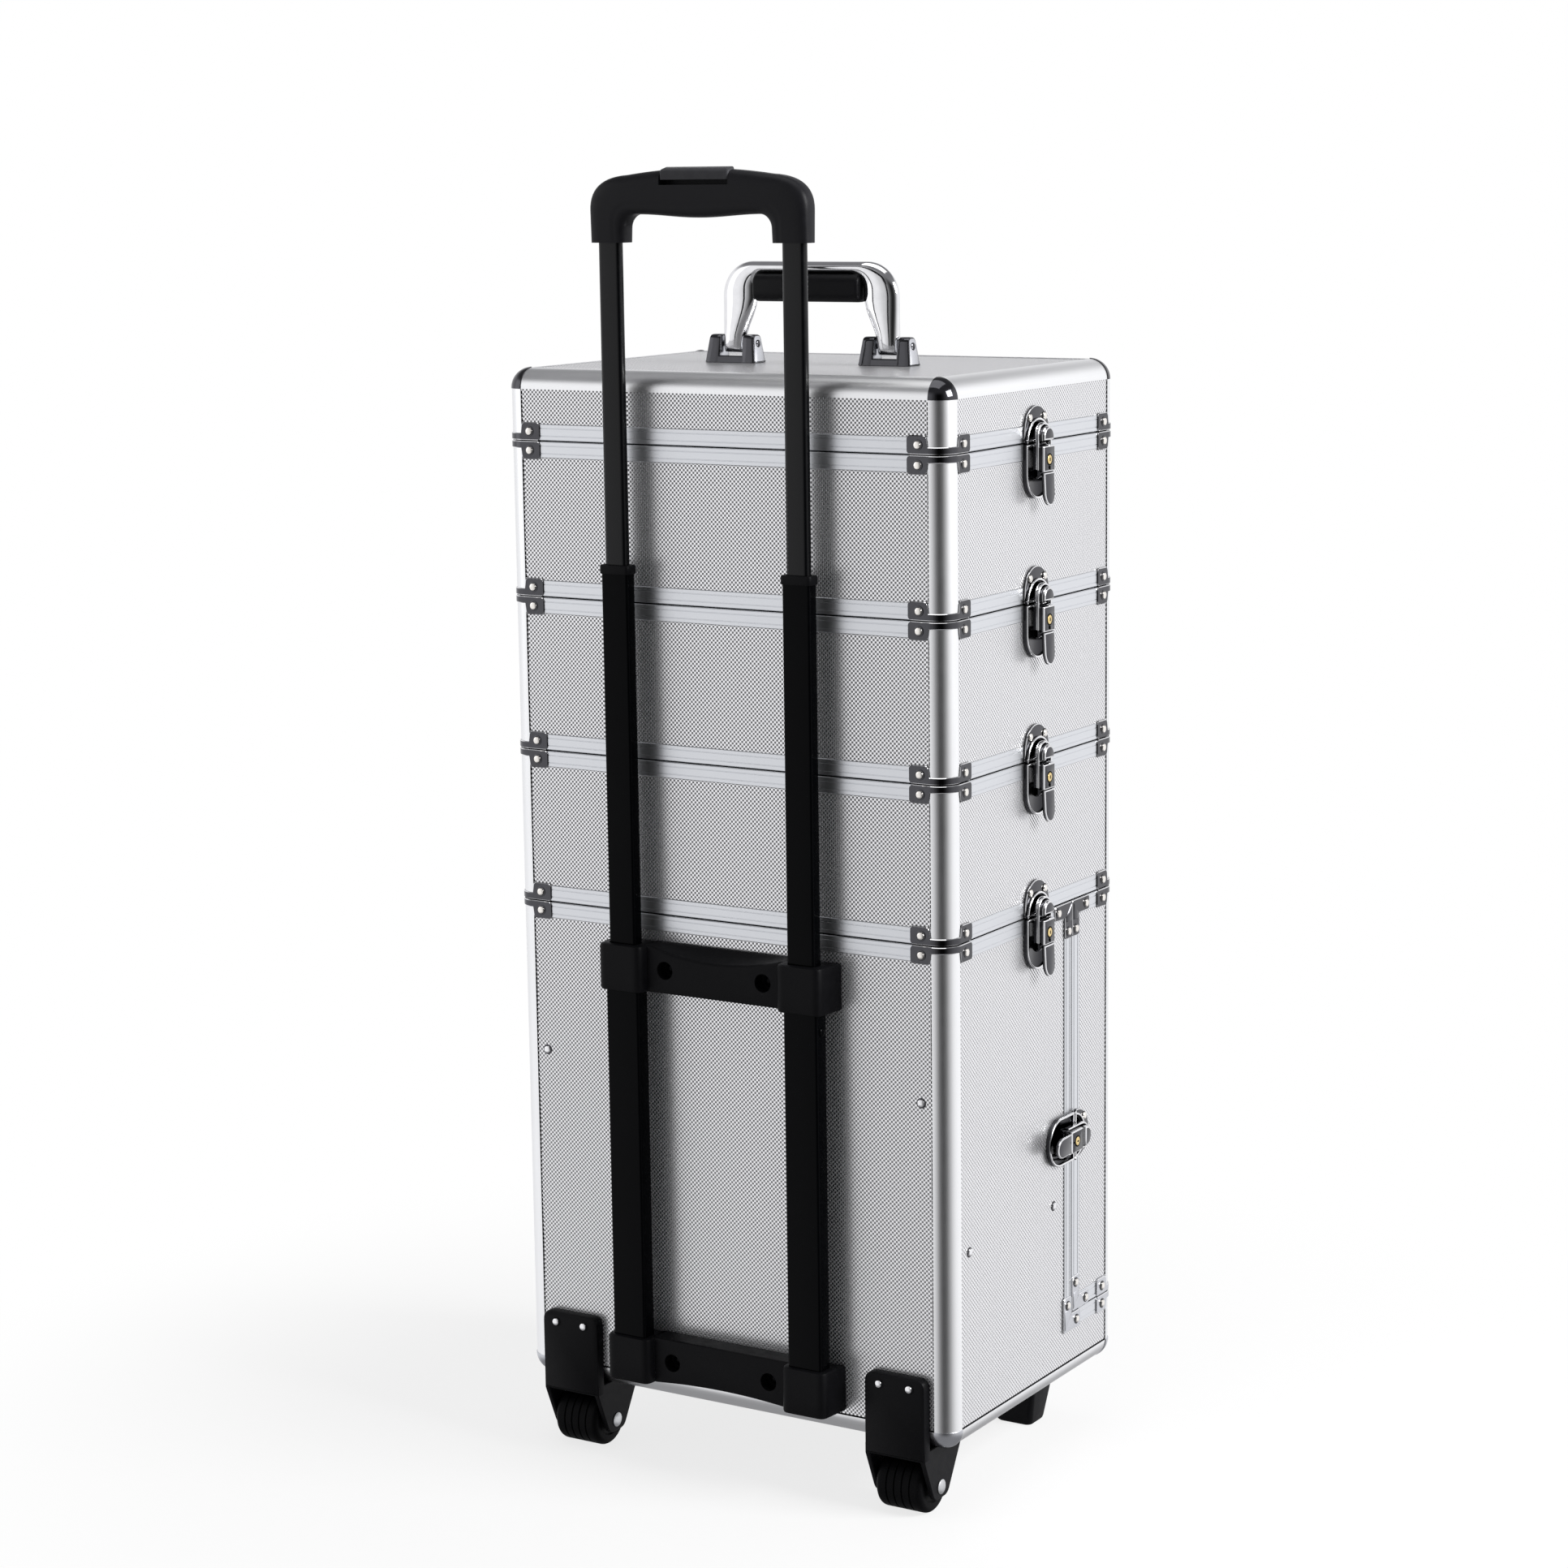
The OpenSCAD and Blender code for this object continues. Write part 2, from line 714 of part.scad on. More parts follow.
module base_hardware() {
    split = door_y + half_gap;
    color([0.62, 0.63, 0.65]) {
        for (k = [0, 1]) corner_clamp(k, base_h - half_gap, -1);
        for (k = [2, 3]) corner_clamp(k, sill_h - half_gap, -1);
        corner_plates(split, base_h - half_gap, 1, -1, plate_w, plate_arm);
        corner_plates(split + lug_h, sill_h - half_gap - lug_h, -1, 1, lug_h, plate_arm);
        for (side = [-1, 1]) {
            at_side_latch(base_h, side) latch_base();
            for (y = [split + plate_arm, panel_y - lug_h])
                translate([side * (half_w - panel_recess), y, runner_z]) rotate([0, side * 90, 0]) rivet();
            translate([side * (panel_x - strap_rivet_in), half_d - panel_recess, strap_z])
                rotate([-90, 0, 0]) rivet();
        }
        at_door_latch() latch_base();
    }
}

// Hinge leaf on the right wall: way 1 lies on the base, way -1 on the door
module hinge_leaf(way) {
    reach = knuckle_r + slack;
    box([half_w, min(door_y + way * reach, door_y + way * (reach + leaf_w)), hinge_z0],
        [half_w + leaf_t, max(door_y + way * reach, door_y + way * (reach + leaf_w)), hinge_z1]);
    first = way > 0 ? 0 : 1;
    for (i = [first:2:knuckles - 1]) {
        z = hinge_z0 + i * knuckle_l + slack / 2;
        h = knuckle_l - slack;
        difference() {
            union() {
                translate([hinge_x, door_y, z]) cylinder(r = knuckle_r, h = h);
                box([half_w, min(door_y, door_y + way * (reach + 1)), z],
                    [half_w + leaf_t, max(door_y, door_y + way * (reach + 1)), z + h]);
            }
            translate([hinge_x, door_y, z - 1]) cylinder(r = hinge_pin_r + pin_clear, h = h + 2);
        }
    }
}

module base_hinge() {
    color([0.6, 0.61, 0.63]) {
        hinge_leaf(1);
        translate([hinge_x, door_y, hinge_z0]) cylinder(r = hinge_pin_r, h = hinge_z1 - hinge_z0);
    }
}

module door_hinge() {
    color([0.6, 0.61, 0.63]) hinge_leaf(-1);
}

module shelf_runners() {
    color([0.2, 0.2, 0.22]) for (wall = [1, 3])
        on_wall(wall, door_y + plate_arm, panel_y, runner_z - runner_s / 2, runner_z + runner_s / 2,
            inner_face, inner_face + runner_s);
}

module shelf() {
    z = runner_z + runner_s / 2;
    x = half_w - inner_face - slack;
    color([0.12, 0.12, 0.13]) box([-x, door_y + plate_arm, z], [x, half_d - inner_face - slack, z + shelf_t]);
}

module inner_strap() {
    color([0.1, 0.1, 0.11]) on_wall(0, -panel_x + rivet_r, panel_x - rivet_r,
        strap_z - strap_w / 2, strap_z + strap_w / 2, inner_face, inner_face + strap_t);
}

// Door

module door_panels() {
    z0 = sill_h + half_gap + strip_h;
    z1 = base_h - half_gap - strip_h;
    color([0.78, 0.79, 0.81]) {
        wall_panel(2, -panel_x, panel_x, z0, z1);
        for (wall = [1, 3]) wall_panel(wall, -panel_y, door_y - half_gap - door_upright_w, z0, z1);
    }
}

module door_frame() {
    z0 = sill_h + half_gap;
    z1 = base_h - half_gap;
    split = door_y - half_gap;
    color([0.82, 0.82, 0.83]) {
        corner_rails(z0, z1, [2, 3]);
        for (z = [z0, z1 - strip_h]) {
            strip(2, -strip_x, strip_x, z, z + strip_h);
            for (wall = [1, 3]) strip(wall, -strip_y, split, z, z + strip_h);
        }
        for (wall = [1, 3])
            strip(wall, split - door_upright_w, split, z0 + strip_h + butt_gap, z1 - strip_h - butt_gap);
    }
}

module door_hardware() {
    split = door_y - half_gap;
    color([0.62, 0.63, 0.65]) {
        for (k = [2, 3]) {
            corner_clamp(k, sill_h + half_gap, 1);
            corner_clamp(k, base_h - half_gap, -1);
        }
        corner_plates(split, base_h - half_gap, -1, -1, plate_w, plate_arm);
        corner_plates(split, sill_h + half_gap, -1, 1, plate_w, plate_arm);
        at_door_latch() latch_strike();
    }
}

module door_lever() {
    at_door_latch() latch_lever();
}

module door_claw() {
    at_door_latch() latch_claw();
}

// Lid and carry handle

module lid_panels() {
    color([0.78, 0.79, 0.81]) {
        for (wall = [0:3]) {
            a = wall_end(wall, panel_x, panel_y);
            wall_panel(wall, -a, a, lid_z + half_gap + strip_h, case_h - rail_r);
        }
        box([-panel_x, -panel_y, case_h - inner_face], [panel_x, panel_y, case_h - panel_recess]);
    }
}

module lid_frame() {
    z = lid_z + half_gap;
    color([0.82, 0.82, 0.83]) {
        corner_rails(z, case_h - rail_r - butt_gap, [0:3]);
        edge_rails(case_h, 1);
        for (wall = [0:3]) {
            a = wall_end(wall, strip_x, strip_y);
            upper_strip(wall, -a, a, z);
        }
    }
}

module lid_corners() {
    color([0.72, 0.73, 0.75]) ball_corners(case_h, 1);
}

module lid_hardware() {
    color([0.62, 0.63, 0.65]) {
        for (k = [0:3]) corner_clamp(k, lid_z + half_gap, 1);
        for (side = [-1, 1]) at_side_latch(lid_z, side) latch_strike();
    }
}

module handle_clevises() {
    top_r = clevis_top_d / 2;
    z = case_h - panel_recess;
    shoulder = case_h + clevis_h - top_r;
    pin_z = case_h + handle_pin_up;
    color([0.66, 0.67, 0.69]) for (s = [-1, 1]) translate([s * clevis_x, 0, 0]) {
        difference() {
            translate([-clevis_w / 2, 0, 0]) raise_x(clevis_w) {
                polygon([[-clevis_d / 2, z], [clevis_d / 2, z], [top_r, shoulder], [-top_r, shoulder]]);
                translate([0, shoulder]) circle(top_r);
            }
            translate([-arm_gap / 2, -clevis_d, case_h + trough_up]) cube([arm_gap, 2 * clevis_d, clevis_h]);
        }
        translate([0, 0, pin_z]) rotate([0, 90, 0])
            cylinder(r = handle_pin_r, h = clevis_w - 2, center = true);
    }
}

module carry_bow() {
    pin_z = case_h + handle_pin_up;
    top = case_h + handle_up;
    outer = clevis_x + arm_w / 2;
    inner = clevis_x - arm_w / 2;
    under = top - bow_t;
    color([0.7, 0.71, 0.73]) difference() {
        across_y(bow_d) {
            difference() {
                union() {
                    translate([-outer, pin_z]) square([2 * outer, top - bow_outer_r - pin_z]);
                    translate([-outer + bow_outer_r, pin_z]) square([2 * (outer - bow_outer_r), top - pin_z]);
                    for (s = [-1, 1])
                        translate([s * (outer - bow_outer_r), top - bow_outer_r]) circle(bow_outer_r);
                }
                translate([-inner, pin_z - 1]) square([2 * inner, under - bow_inner_r - pin_z + 1]);
                translate([-inner + bow_inner_r, pin_z - 1])
                    square([2 * (inner - bow_inner_r), under - pin_z + 1]);
                for (s = [-1, 1])
                    translate([s * (inner - bow_inner_r), under - bow_inner_r]) circle(bow_inner_r);
            }
            for (s = [-1, 1]) translate([s * clevis_x - arm_w / 2, pin_z - arm_eye]) square([arm_w, arm_eye]);
        }
        // the lower ends are rounded about the pins
        for (s = [-1, 1]) translate([s * clevis_x, 0, pin_z]) rotate([0, 90, 0]) {
            cylinder(r = handle_pin_r + pin_clear, h = arm_w + 1, center = true);
            difference() {
                translate([0, -bow_d, -arm_w]) cube([arm_eye + 1, 2 * bow_d, 2 * arm_w]);
                cylinder(r = min(arm_eye, bow_d / 2), h = 2 * arm_w + 1, center = true);
            }
        }
    }
}

module carry_grip() {
    z = case_h + handle_up - bow_t - carry_grip_h;
    color([0.08, 0.08, 0.09]) translate([-carry_grip_l / 2, 0, z + carry_grip_h / 2])
        raise_x(carry_grip_l) round_rect(carry_grip_d, carry_grip_h, carry_round);
}

// Trolley

module tube(w, d, z0, z1) {
    for (s = [-1, 1]) translate([s * tube_x, tube_y, z0]) linear_extrude(z1 - z0) difference() {
        round_rect(w, d, tube_round);
        round_rect(w - 2 * tube_t, d - 2 * tube_t, tube_round - tube_t);
    }
}

// Plan of a tube block, from the case back outwards
module block_plan() {
    wide = block_w / 2;
    polygon([[-wide - block_flare, 0], [wide + block_flare, 0], [wide, bracket_d - block_round],
        [wide - block_round, bracket_d], [block_round - wide, bracket_d], [-wide, bracket_d - block_round]]);
    for (e = [-1, 1]) translate([e * (wide - block_round), bracket_d - block_round]) circle(block_round);
}

// Layer of both tube blocks with a hole for a tube of the given size
module block_layer(z0, z1, w, d) {
    for (s = [-1, 1]) translate([s * tube_x, half_d, z0]) linear_extrude(z1 - z0) difference() {
        block_plan();
        translate([0, tube_out]) round_rect(w, d, tube_round);
    }
}

// Bar between the blocks: its upper edge (way 1) or lower edge (way -1) is hollowed by the given depth,
// apart from a back of the given thickness
module bracket_bar(z, way, hollow, back) {
    mid = bracket_h / 2;
    reach = tube_x - block_w / 2;
    chord = reach - block_round / 2;
    r = (chord * chord + hollow * hollow) / (2 * hollow);
    translate([0, half_d, z + mid]) difference() {
        union() {
            translate([0, bar_d / 2, 0]) across_y(bar_d) difference() {
                square([2 * reach + 2, bracket_h], center = true);
                translate([0, way * (mid - hollow + r)]) circle(r, $fn = 96);
            }
            if (back > 0)
                translate([0, back / 2, 0]) across_y(back) square([2 * reach + 2, bracket_h], center = true);
        }
        for (s = [-1, 1]) translate([s * screw_x, 0, 0]) rotate([-90, 0, 0]) {
            translate([0, 0, bar_d - recess_d]) cylinder(r = recess_r, h = recess_d + 1);
            translate([0, 0, -1]) cylinder(r = screw_r + seat, h = bar_d);
        }
    }
}

module trolley_brackets() {
    upper = upper_bracket_z + bracket_h;
    lower = lower_bracket_z + bracket_end;
    color([0.09, 0.09, 0.1]) {
        block_layer(upper_bracket_z, upper - bracket_end, outer_w + 2 * seat, outer_d + 2 * seat);
        block_layer(upper - bracket_end, upper, middle_w + 2 * slack, middle_d + 2 * slack);
        bracket_bar(upper_bracket_z, 1, scoop, bar_back);
        for (s = [-1, 1])
            translate([s * tube_x, half_d, lower_bracket_z]) linear_extrude(bracket_end) block_plan();
        block_layer(lower, lower_bracket_z + bracket_h, outer_w + 2 * seat, outer_d + 2 * seat);
        bracket_bar(lower_bracket_z, -1, arch, 0);
    }
}

module bracket_screws() {
    color([0.5, 0.5, 0.52]) for (z = [upper_bracket_z, lower_bracket_z], s = [-1, 1])
        translate([s * screw_x, half_d, z + bracket_h / 2]) rotate([-90, 0, 0]) {
            translate([0, 0, bar_d - recess_d]) dome(screw_head_r, screw_head_h);
            cylinder(r = screw_r, h = bar_d - recess_d + 0.5);
        }
}

module outer_tubes() {
    color([0.1, 0.1, 0.11]) {
        tube(outer_w, outer_d, lower_bracket_z + bracket_end, upper_bracket_z + bracket_h - bracket_end);
        // heads of the locking pins
        for (s = [-1, 1]) translate([s * (tube_x + outer_w / 2), tube_y, upper_bracket_z - pin_head_down])
            rotate([0, s * 90, 0]) dome(pin_head_r, rivet_h);
    }
}

module middle_tubes() {
    color([0.1, 0.1, 0.11]) tube(middle_w, middle_d, middle_bottom, middle_top - collar_lip);
}

module middle_collars() {
    w = middle_w + 2 * collar_lip;
    d = middle_d + 2 * collar_lip;
    color([0.06, 0.06, 0.07])
    for (s = [-1, 1]) translate([s * tube_x, tube_y, middle_top - collar_h]) difference() {
        linear_extrude(collar_h) round_rect(w, d, tube_round);
        translate([0, 0, -1]) linear_extrude(collar_h - collar_lip + 1)
            round_rect(middle_w + 2 * seat, middle_d + 2 * seat, tube_round);
        linear_extrude(collar_h + 1) round_rect(inner_w + 2 * slack, inner_d + 2 * slack, tube_round);
    }
}

module inner_tubes() {
    color([0.1, 0.1, 0.11]) tube(inner_w, inner_d, inner_bottom, grip_z + grip_tube_in);
}

// Side view of the grip up to the given top: legs that widen into a bar with a round back
module grip_side(top) {
    wide = grip_d / 2;
    polygon([[-leg_d / 2, grip_z], [leg_d / 2, grip_z], [wide, grip_z + grip_under], [wide, top - wide],
        [-wide, top - wide], [-wide, grip_z + grip_under]]);
    translate([0, top - wide]) circle(wide);
}

module trolley_grip() {
    top = grip_z + grip_h;
    crown_r = (grip_w * grip_w / 4 + grip_crown * grip_crown) / (2 * grip_crown);
    inner = tube_x - leg_w / 2;
    slot_z = top + button_proud - button_h - button_travel - slack;
    color([0.08, 0.08, 0.09]) difference() {
        intersection() {
            translate([0, tube_y, 0]) across_y(grip_d) difference() {
                union() {
                    translate([-grip_w / 2, grip_z]) square([grip_w, grip_h - grip_corner]);
                    translate([grip_corner - grip_w / 2, grip_z]) square([grip_w - 2 * grip_corner, grip_h]);
                    for (s = [-1, 1])
                        translate([s * (grip_w / 2 - grip_corner), top - grip_corner]) circle(grip_corner);
                }
                translate([-inner, grip_z - 1]) square([2 * inner, grip_under - grip_inner_r + 1]);
                translate([-inner + grip_inner_r, grip_z - 1])
                    square([2 * (inner - grip_inner_r), grip_under + 1]);
                for (s = [-1, 1])
                    translate([s * (inner - grip_inner_r), grip_z + grip_under - grip_inner_r])
                        circle(grip_inner_r);
            }
            translate([0, tube_y, top - crown_r]) rotate([90, 0, 0])
                cylinder(r = crown_r, h = grip_d + 2, center = true, $fn = 96);
            translate([-grip_w, tube_y, 0]) raise_x(2 * grip_w) grip_side(top);
        }
        for (s = [-1, 1]) translate([s * tube_x, tube_y, grip_z - 1])
            linear_extrude(grip_tube_in + 1 + seat)
                round_rect(inner_w + 2 * seat, inner_d + 2 * seat, tube_round);
        translate([-button_l / 2 - slack, button_y - slack, slot_z])
            cube([button_l + 2 * slack, grip_d, button_h + button_travel + 1]);
    }
}

module trolley_button() {
    top = grip_z + grip_h + button_proud;
    color([0.2, 0.2, 0.21]) intersection() {
        box([-button_l / 2, button_y, top - button_h], [button_l / 2, button_y + button_d, top]);
        translate([-button_l, tube_y, 0]) raise_x(2 * button_l) grip_side(top);
    }
}

// Wheels and feet

module wheel_housings() {
    color([0.07, 0.07, 0.08]) for (s = [-1, 1]) translate([s * wheel_x, half_d, 0]) {
        difference() {
            union() {
                translate([0, plate_t / 2, (plate_up - plate_down) / 2]) across_y(plate_t)
                    round_rect(housing_w, plate_up + plate_down, plate_round);
                translate([-housing_w / 2, 0, -plate_down]) cube([housing_w, plate_t, plate_round + 1]);
                translate([-housing_w / 2, -cheek_front, -cover_t])
                    cube([housing_w, cheek_front + plate_t, cover_t]);
                for (x = [-housing_w / 2, housing_w / 2 - cheek_t]) translate([x, 0, 0]) raise_x(cheek_t) {
                    polygon([[plate_t, 0], [plate_t, -plate_down], [cheek_r - axle_in, -axle_drop],
                        [-cheek_r - axle_in, -axle_drop], [-cheek_front, -cover_t], [-cheek_front, 0]]);
                    translate([-axle_in, -axle_drop]) circle(cheek_r);
                }
            }
            translate([0, -axle_in, -axle_drop]) rotate([0, 90, 0])
                cylinder(r = axle_r + seat, h = housing_w + 1, center = true);
        }
        for (e = [-1, 1])
            translate([e * housing_w / 4, plate_t, plate_up - plate_round]) rotate([-90, 0, 0]) rivet();
    }
}

module wheel_axles() {
    color([0.66, 0.67, 0.69]) for (s = [-1, 1]) translate([s * wheel_x, axle_y, -axle_drop]) {
        rotate([0, 90, 0]) cylinder(r = axle_r, h = housing_w, center = true);
        for (e = [-1, 1])
            translate([e * housing_w / 2, 0, 0]) rotate([0, e * 90, 0]) dome(axle_head_r, rivet_h);
    }
}

module wheel(s) {
    bore = hub_r + seat;
    shoulder = wheel_r - wheel_edge;
    side = wheel_w / 2 - wheel_edge;
    translate([s * wheel_x, axle_y, -axle_drop]) rotate([0, 90, 0]) {
        color([0.09, 0.09, 0.1]) rotate_extrude($fn = 96) difference() {
            union() {
                translate([bore, -wheel_w / 2]) square([shoulder - bore, wheel_w]);
                translate([bore, -side]) square([wheel_r - bore, 2 * side]);
                for (e = [-1, 1]) translate([shoulder, e * side]) circle(wheel_edge);
            }
            for (i = [-1.5:1:1.5])
                translate([wheel_r - wheel_groove, i * groove_pitch - wheel_groove / 2])
                    square([wheel_groove + 1, wheel_groove]);
        }
        color([0.7, 0.71, 0.73]) difference() {
            cylinder(r = hub_r, h = wheel_w + 2 * (wheel_side - slack), center = true);
            cylinder(r = axle_r + pin_clear, h = 2 * wheel_w, center = true);
        }
    }
}

module front_feet() {
    half_foot = foot_w / 2;
    half_deep = foot_d / 2;
    color([0.07, 0.07, 0.08]) for (s = [-1, 1]) translate([s * foot_x, foot_y, -lift]) intersection() {
        across_y(2 * (foot_d + foot_front + foot_back))
            polygon([[-half_foot, 0], [half_foot, 0],
                [half_foot + foot_flare, lift], [-half_foot - foot_flare, lift]]);
        translate([-foot_w, 0, 0]) raise_x(2 * foot_w)
            polygon([[-half_deep, 0], [half_deep, 0],
                [half_deep + foot_back, lift], [-half_deep - foot_front, lift]]);
    }
}

// Everything is drawn from the case bottom and then stood on the floor
module stand() {
    translate([0, y_shift, lift]) children();
}

stand() base_panels();
stand() base_frame();
stand() base_corners();
stand() base_hardware();
stand() base_hinge();
stand() shelf();
stand() shelf_runners();
stand() inner_strap();
stand() wheel_housings();
stand() wheel_axles();
stand() wheel(-1);  // wheel_left
stand() wheel(1);  // wheel_right
stand() front_feet();
stand() trolley_brackets();
stand() bracket_screws();
stand() outer_tubes();
stand() middle_tubes();
stand() middle_collars();
stand() inner_tubes();
stand() trolley_grip();
stand() trolley_button();
stand() door_panels();
stand() door_frame();
stand() door_hardware();
stand() door_hinge();
stand() door_lever();
stand() door_claw();
stand() tray_panels(lower_z);  // lower_panels
stand() tray_frame(lower_z);  // lower_frame
stand() tray_hardware(lower_z);  // lower_hardware
stand() tray_panels(middle_z);  // middle_panels
stand() tray_frame(middle_z);  // middle_frame
stand() tray_hardware(middle_z);  // middle_hardware
stand() tray_panels(top_z);  // top_panels
stand() tray_frame(top_z);  // top_frame
stand() tray_hardware(top_z);  // top_hardware
stand() lid_panels();
stand() lid_frame();
stand() lid_corners();
stand() lid_hardware();
stand() handle_clevises();
stand() carry_bow();
stand() carry_grip();
stand() at_side_latch(lower_z, -1) latch_lever();  // lower_lever_left
stand() at_side_latch(lower_z, 1) latch_lever();  // lower_lever_right
stand() at_side_latch(lower_z, -1) latch_claw();  // lower_claw_left
stand() at_side_latch(lower_z, 1) latch_claw();  // lower_claw_right
stand() at_side_latch(middle_z, -1) latch_lever();  // middle_lever_left
stand() at_side_latch(middle_z, 1) latch_lever();  // middle_lever_right
stand() at_side_latch(middle_z, -1) latch_claw();  // middle_claw_left
stand() at_side_latch(middle_z, 1) latch_claw();  // middle_claw_right
stand() at_side_latch(top_z, -1) latch_lever();  // top_lever_left
stand() at_side_latch(top_z, 1) latch_lever();  // top_lever_right
stand() at_side_latch(top_z, -1) latch_claw();  // top_claw_left
stand() at_side_latch(top_z, 1) latch_claw();  // top_claw_right
stand() at_side_latch(lid_z, -1) latch_lever();  // lid_lever_left
stand() at_side_latch(lid_z, 1) latch_lever();  // lid_lever_right
stand() at_side_latch(lid_z, -1) latch_claw();  // lid_claw_left
stand() at_side_latch(lid_z, 1) latch_claw();  // lid_claw_right
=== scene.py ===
import bmesh
import bpy
import numpy as np
from math import cos, pi, radians, sin
from mathutils import Matrix, Vector
from types import SimpleNamespace


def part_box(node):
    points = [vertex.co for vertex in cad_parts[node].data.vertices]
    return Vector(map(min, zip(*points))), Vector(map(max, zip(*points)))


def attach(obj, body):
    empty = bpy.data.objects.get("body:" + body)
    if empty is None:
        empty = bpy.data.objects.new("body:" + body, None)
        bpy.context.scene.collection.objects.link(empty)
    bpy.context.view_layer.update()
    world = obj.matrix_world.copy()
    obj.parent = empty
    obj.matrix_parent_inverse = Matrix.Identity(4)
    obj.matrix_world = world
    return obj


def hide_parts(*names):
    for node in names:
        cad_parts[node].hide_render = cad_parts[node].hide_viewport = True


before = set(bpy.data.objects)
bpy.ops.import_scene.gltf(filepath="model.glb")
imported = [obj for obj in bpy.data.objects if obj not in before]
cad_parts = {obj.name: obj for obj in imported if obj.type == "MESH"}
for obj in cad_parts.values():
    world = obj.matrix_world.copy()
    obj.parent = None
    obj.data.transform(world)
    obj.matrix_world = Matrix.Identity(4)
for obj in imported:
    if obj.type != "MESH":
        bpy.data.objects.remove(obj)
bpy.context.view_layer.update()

# Datum of the case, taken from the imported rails: millimetres from the middle of the case bottom
mm = 0.001
railLow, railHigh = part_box("base_frame")
halfW = (railHigh.x - railLow.x) / 2 / mm
halfD = (railHigh.y - railLow.y) / 2 / mm
midY = (railHigh.y + railLow.y) / 2
bottomZ = railLow.z


def levelOf(height):  # a height in the frame, as millimetres above the case bottom
    return (height - bottomZ) / mm


def dots(values):  # a dictionary whose values are read with dots
    return SimpleNamespace(**values)


caseSizes = {
    "splitGap": 0.8, "railR": 13.6, "railT": 1.8, "stripH": 11.0, "stripT": 5.0,
    "recess": 0.6, "sheetT": 4.0, "seam": 1.0, "tongueH": 2.0, "tongueT": 1.4, "tongueClear": 0.3, "notchClear": 0.3,
    "floorUp": 3.0, "floorT": 4.0, "doorD": 66.5, "sillH": 49.0, "baseUpright": 10.0, "doorUpright": 12.0,
}
case = dots(caseSizes)
halfGap, railR, stripH = case.splitGap / 2, case.railR, case.stripH
panelX, panelY = halfW - railR, halfD - railR
caseTop = levelOf(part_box("lid_frame")[1].z)
splitZ = {name: levelOf(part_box(name + "_frame")[0].z) - halfGap for name in ("lower", "middle", "top", "lid")}
doorY = case.doorD - halfD
floorZ = levelOf(0.0)


# Gathers closed shells for one piece, each a stack of rings, with finishes and lengths along and around as UV
class Pile:
    def __init__(self):
        self.points, self.faces, self.finish, self.lengths = [], [], [], []
        self.count = 0
        self.at()

    def put(self, turn, offset):  # the local frame of the shells that follow
        self.turn, self.offset = np.asarray(turn, float), np.asarray(offset, float)
        return self

    def at(self, x=0.0, y=0.0, z=0.0):  # an upright local frame
        return self.put(np.eye(3), (x, y, z))

    # rings is rows x columns x 3, joined round the columns; the ends get caps, or loop joins last row to first
    def add(self, rings, finish=0, loop=False, capFinish=None):
        rows, cols = rings.shape[:2]
        index = self.count + np.arange(rows * cols).reshape(rows, cols)
        nextCol = np.roll(index, -1, axis=1)
        quads = np.stack([index, nextCol, np.roll(nextCol, -1, axis=0), np.roll(index, -1, axis=0)], -1)
        quads = quads if loop else quads[:-1]
        tint = np.broadcast_to(np.asarray(finish, int), quads.shape[:2])
        self.faces.append(quads.reshape(-1, 4))
        self.finish.append(tint.reshape(-1))
        if not loop:
            self.faces += [index[:1, ::-1], index[-1:]]
            self.finish.append(np.full(2, tint[0, 0] if capFinish is None else capFinish))
        step = np.linalg.norm(np.diff(rings, axis=0), axis=2).mean(1)
        around = np.linalg.norm(np.diff(rings, axis=1), axis=2).mean(0)
        along, across = (np.concatenate([[0], np.cumsum(gaps)]) for gaps in (step, around))
        self.lengths.append(np.stack(np.meshgrid(along, across, indexing="ij"), -1).reshape(-1, 2) * mm)
        self.points.append(rings.reshape(-1, 3) @ self.turn.T + self.offset)
        self.count += rows * cols
        return self


def paired(x, y, rings, loop=False):  # the same shell on both sides of the middle
    pile = Pile()
    for s in (-1, 1):
        pile.at(s * x, y).add(rings, loop=loop)
    return pile


# A pile's shells as one mesh in metres, every face turned outwards
def pileMesh(name, pile):
    mesh = bpy.data.meshes.new(name)
    points = np.concatenate(pile.points) * mm + [0, midY, bottomZ]
    mesh.from_pydata(points.tolist(), [], [face for block in pile.faces for face in block.tolist()])
    work = bmesh.new()
    work.from_mesh(mesh)
    bmesh.ops.recalc_face_normals(work, faces=work.faces)
    work.to_mesh(mesh)
    work.free()
    return mesh


def newObject(name, data):  # an object in the scene
    made = bpy.data.objects.new(name, data)
    bpy.context.scene.collection.objects.link(made)
    return made


creases = {"piece": 38.0, "carved": 35.0}  # degrees from which an edge is sharp


# Puts a pile into the scene as one object that rides on a body and stands for a CAD node
def makePiece(name, pile, lookNames, body, node=None):
    mesh = pileMesh(name, pile)
    for lookName in lookNames.split():
        mesh.materials.append(looks[lookName])
    mesh.polygons.foreach_set("material_index", np.concatenate(pile.finish).astype(np.int32))
    corner = np.empty(len(mesh.loops), np.int32)
    mesh.loops.foreach_get("vertex_index", corner)
    mesh.uv_layers.new(name="lengths").data.foreach_set("uv", np.concatenate(pile.lengths)[corner].ravel())
    mesh.polygons.foreach_set("use_smooth", np.ones(len(mesh.polygons), bool))
    mesh.set_sharp_from_angle(angle=radians(creases["piece"]))
    piece = newObject(name, mesh)
    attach(piece, body)
    if node:
        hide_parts(node)
    return piece


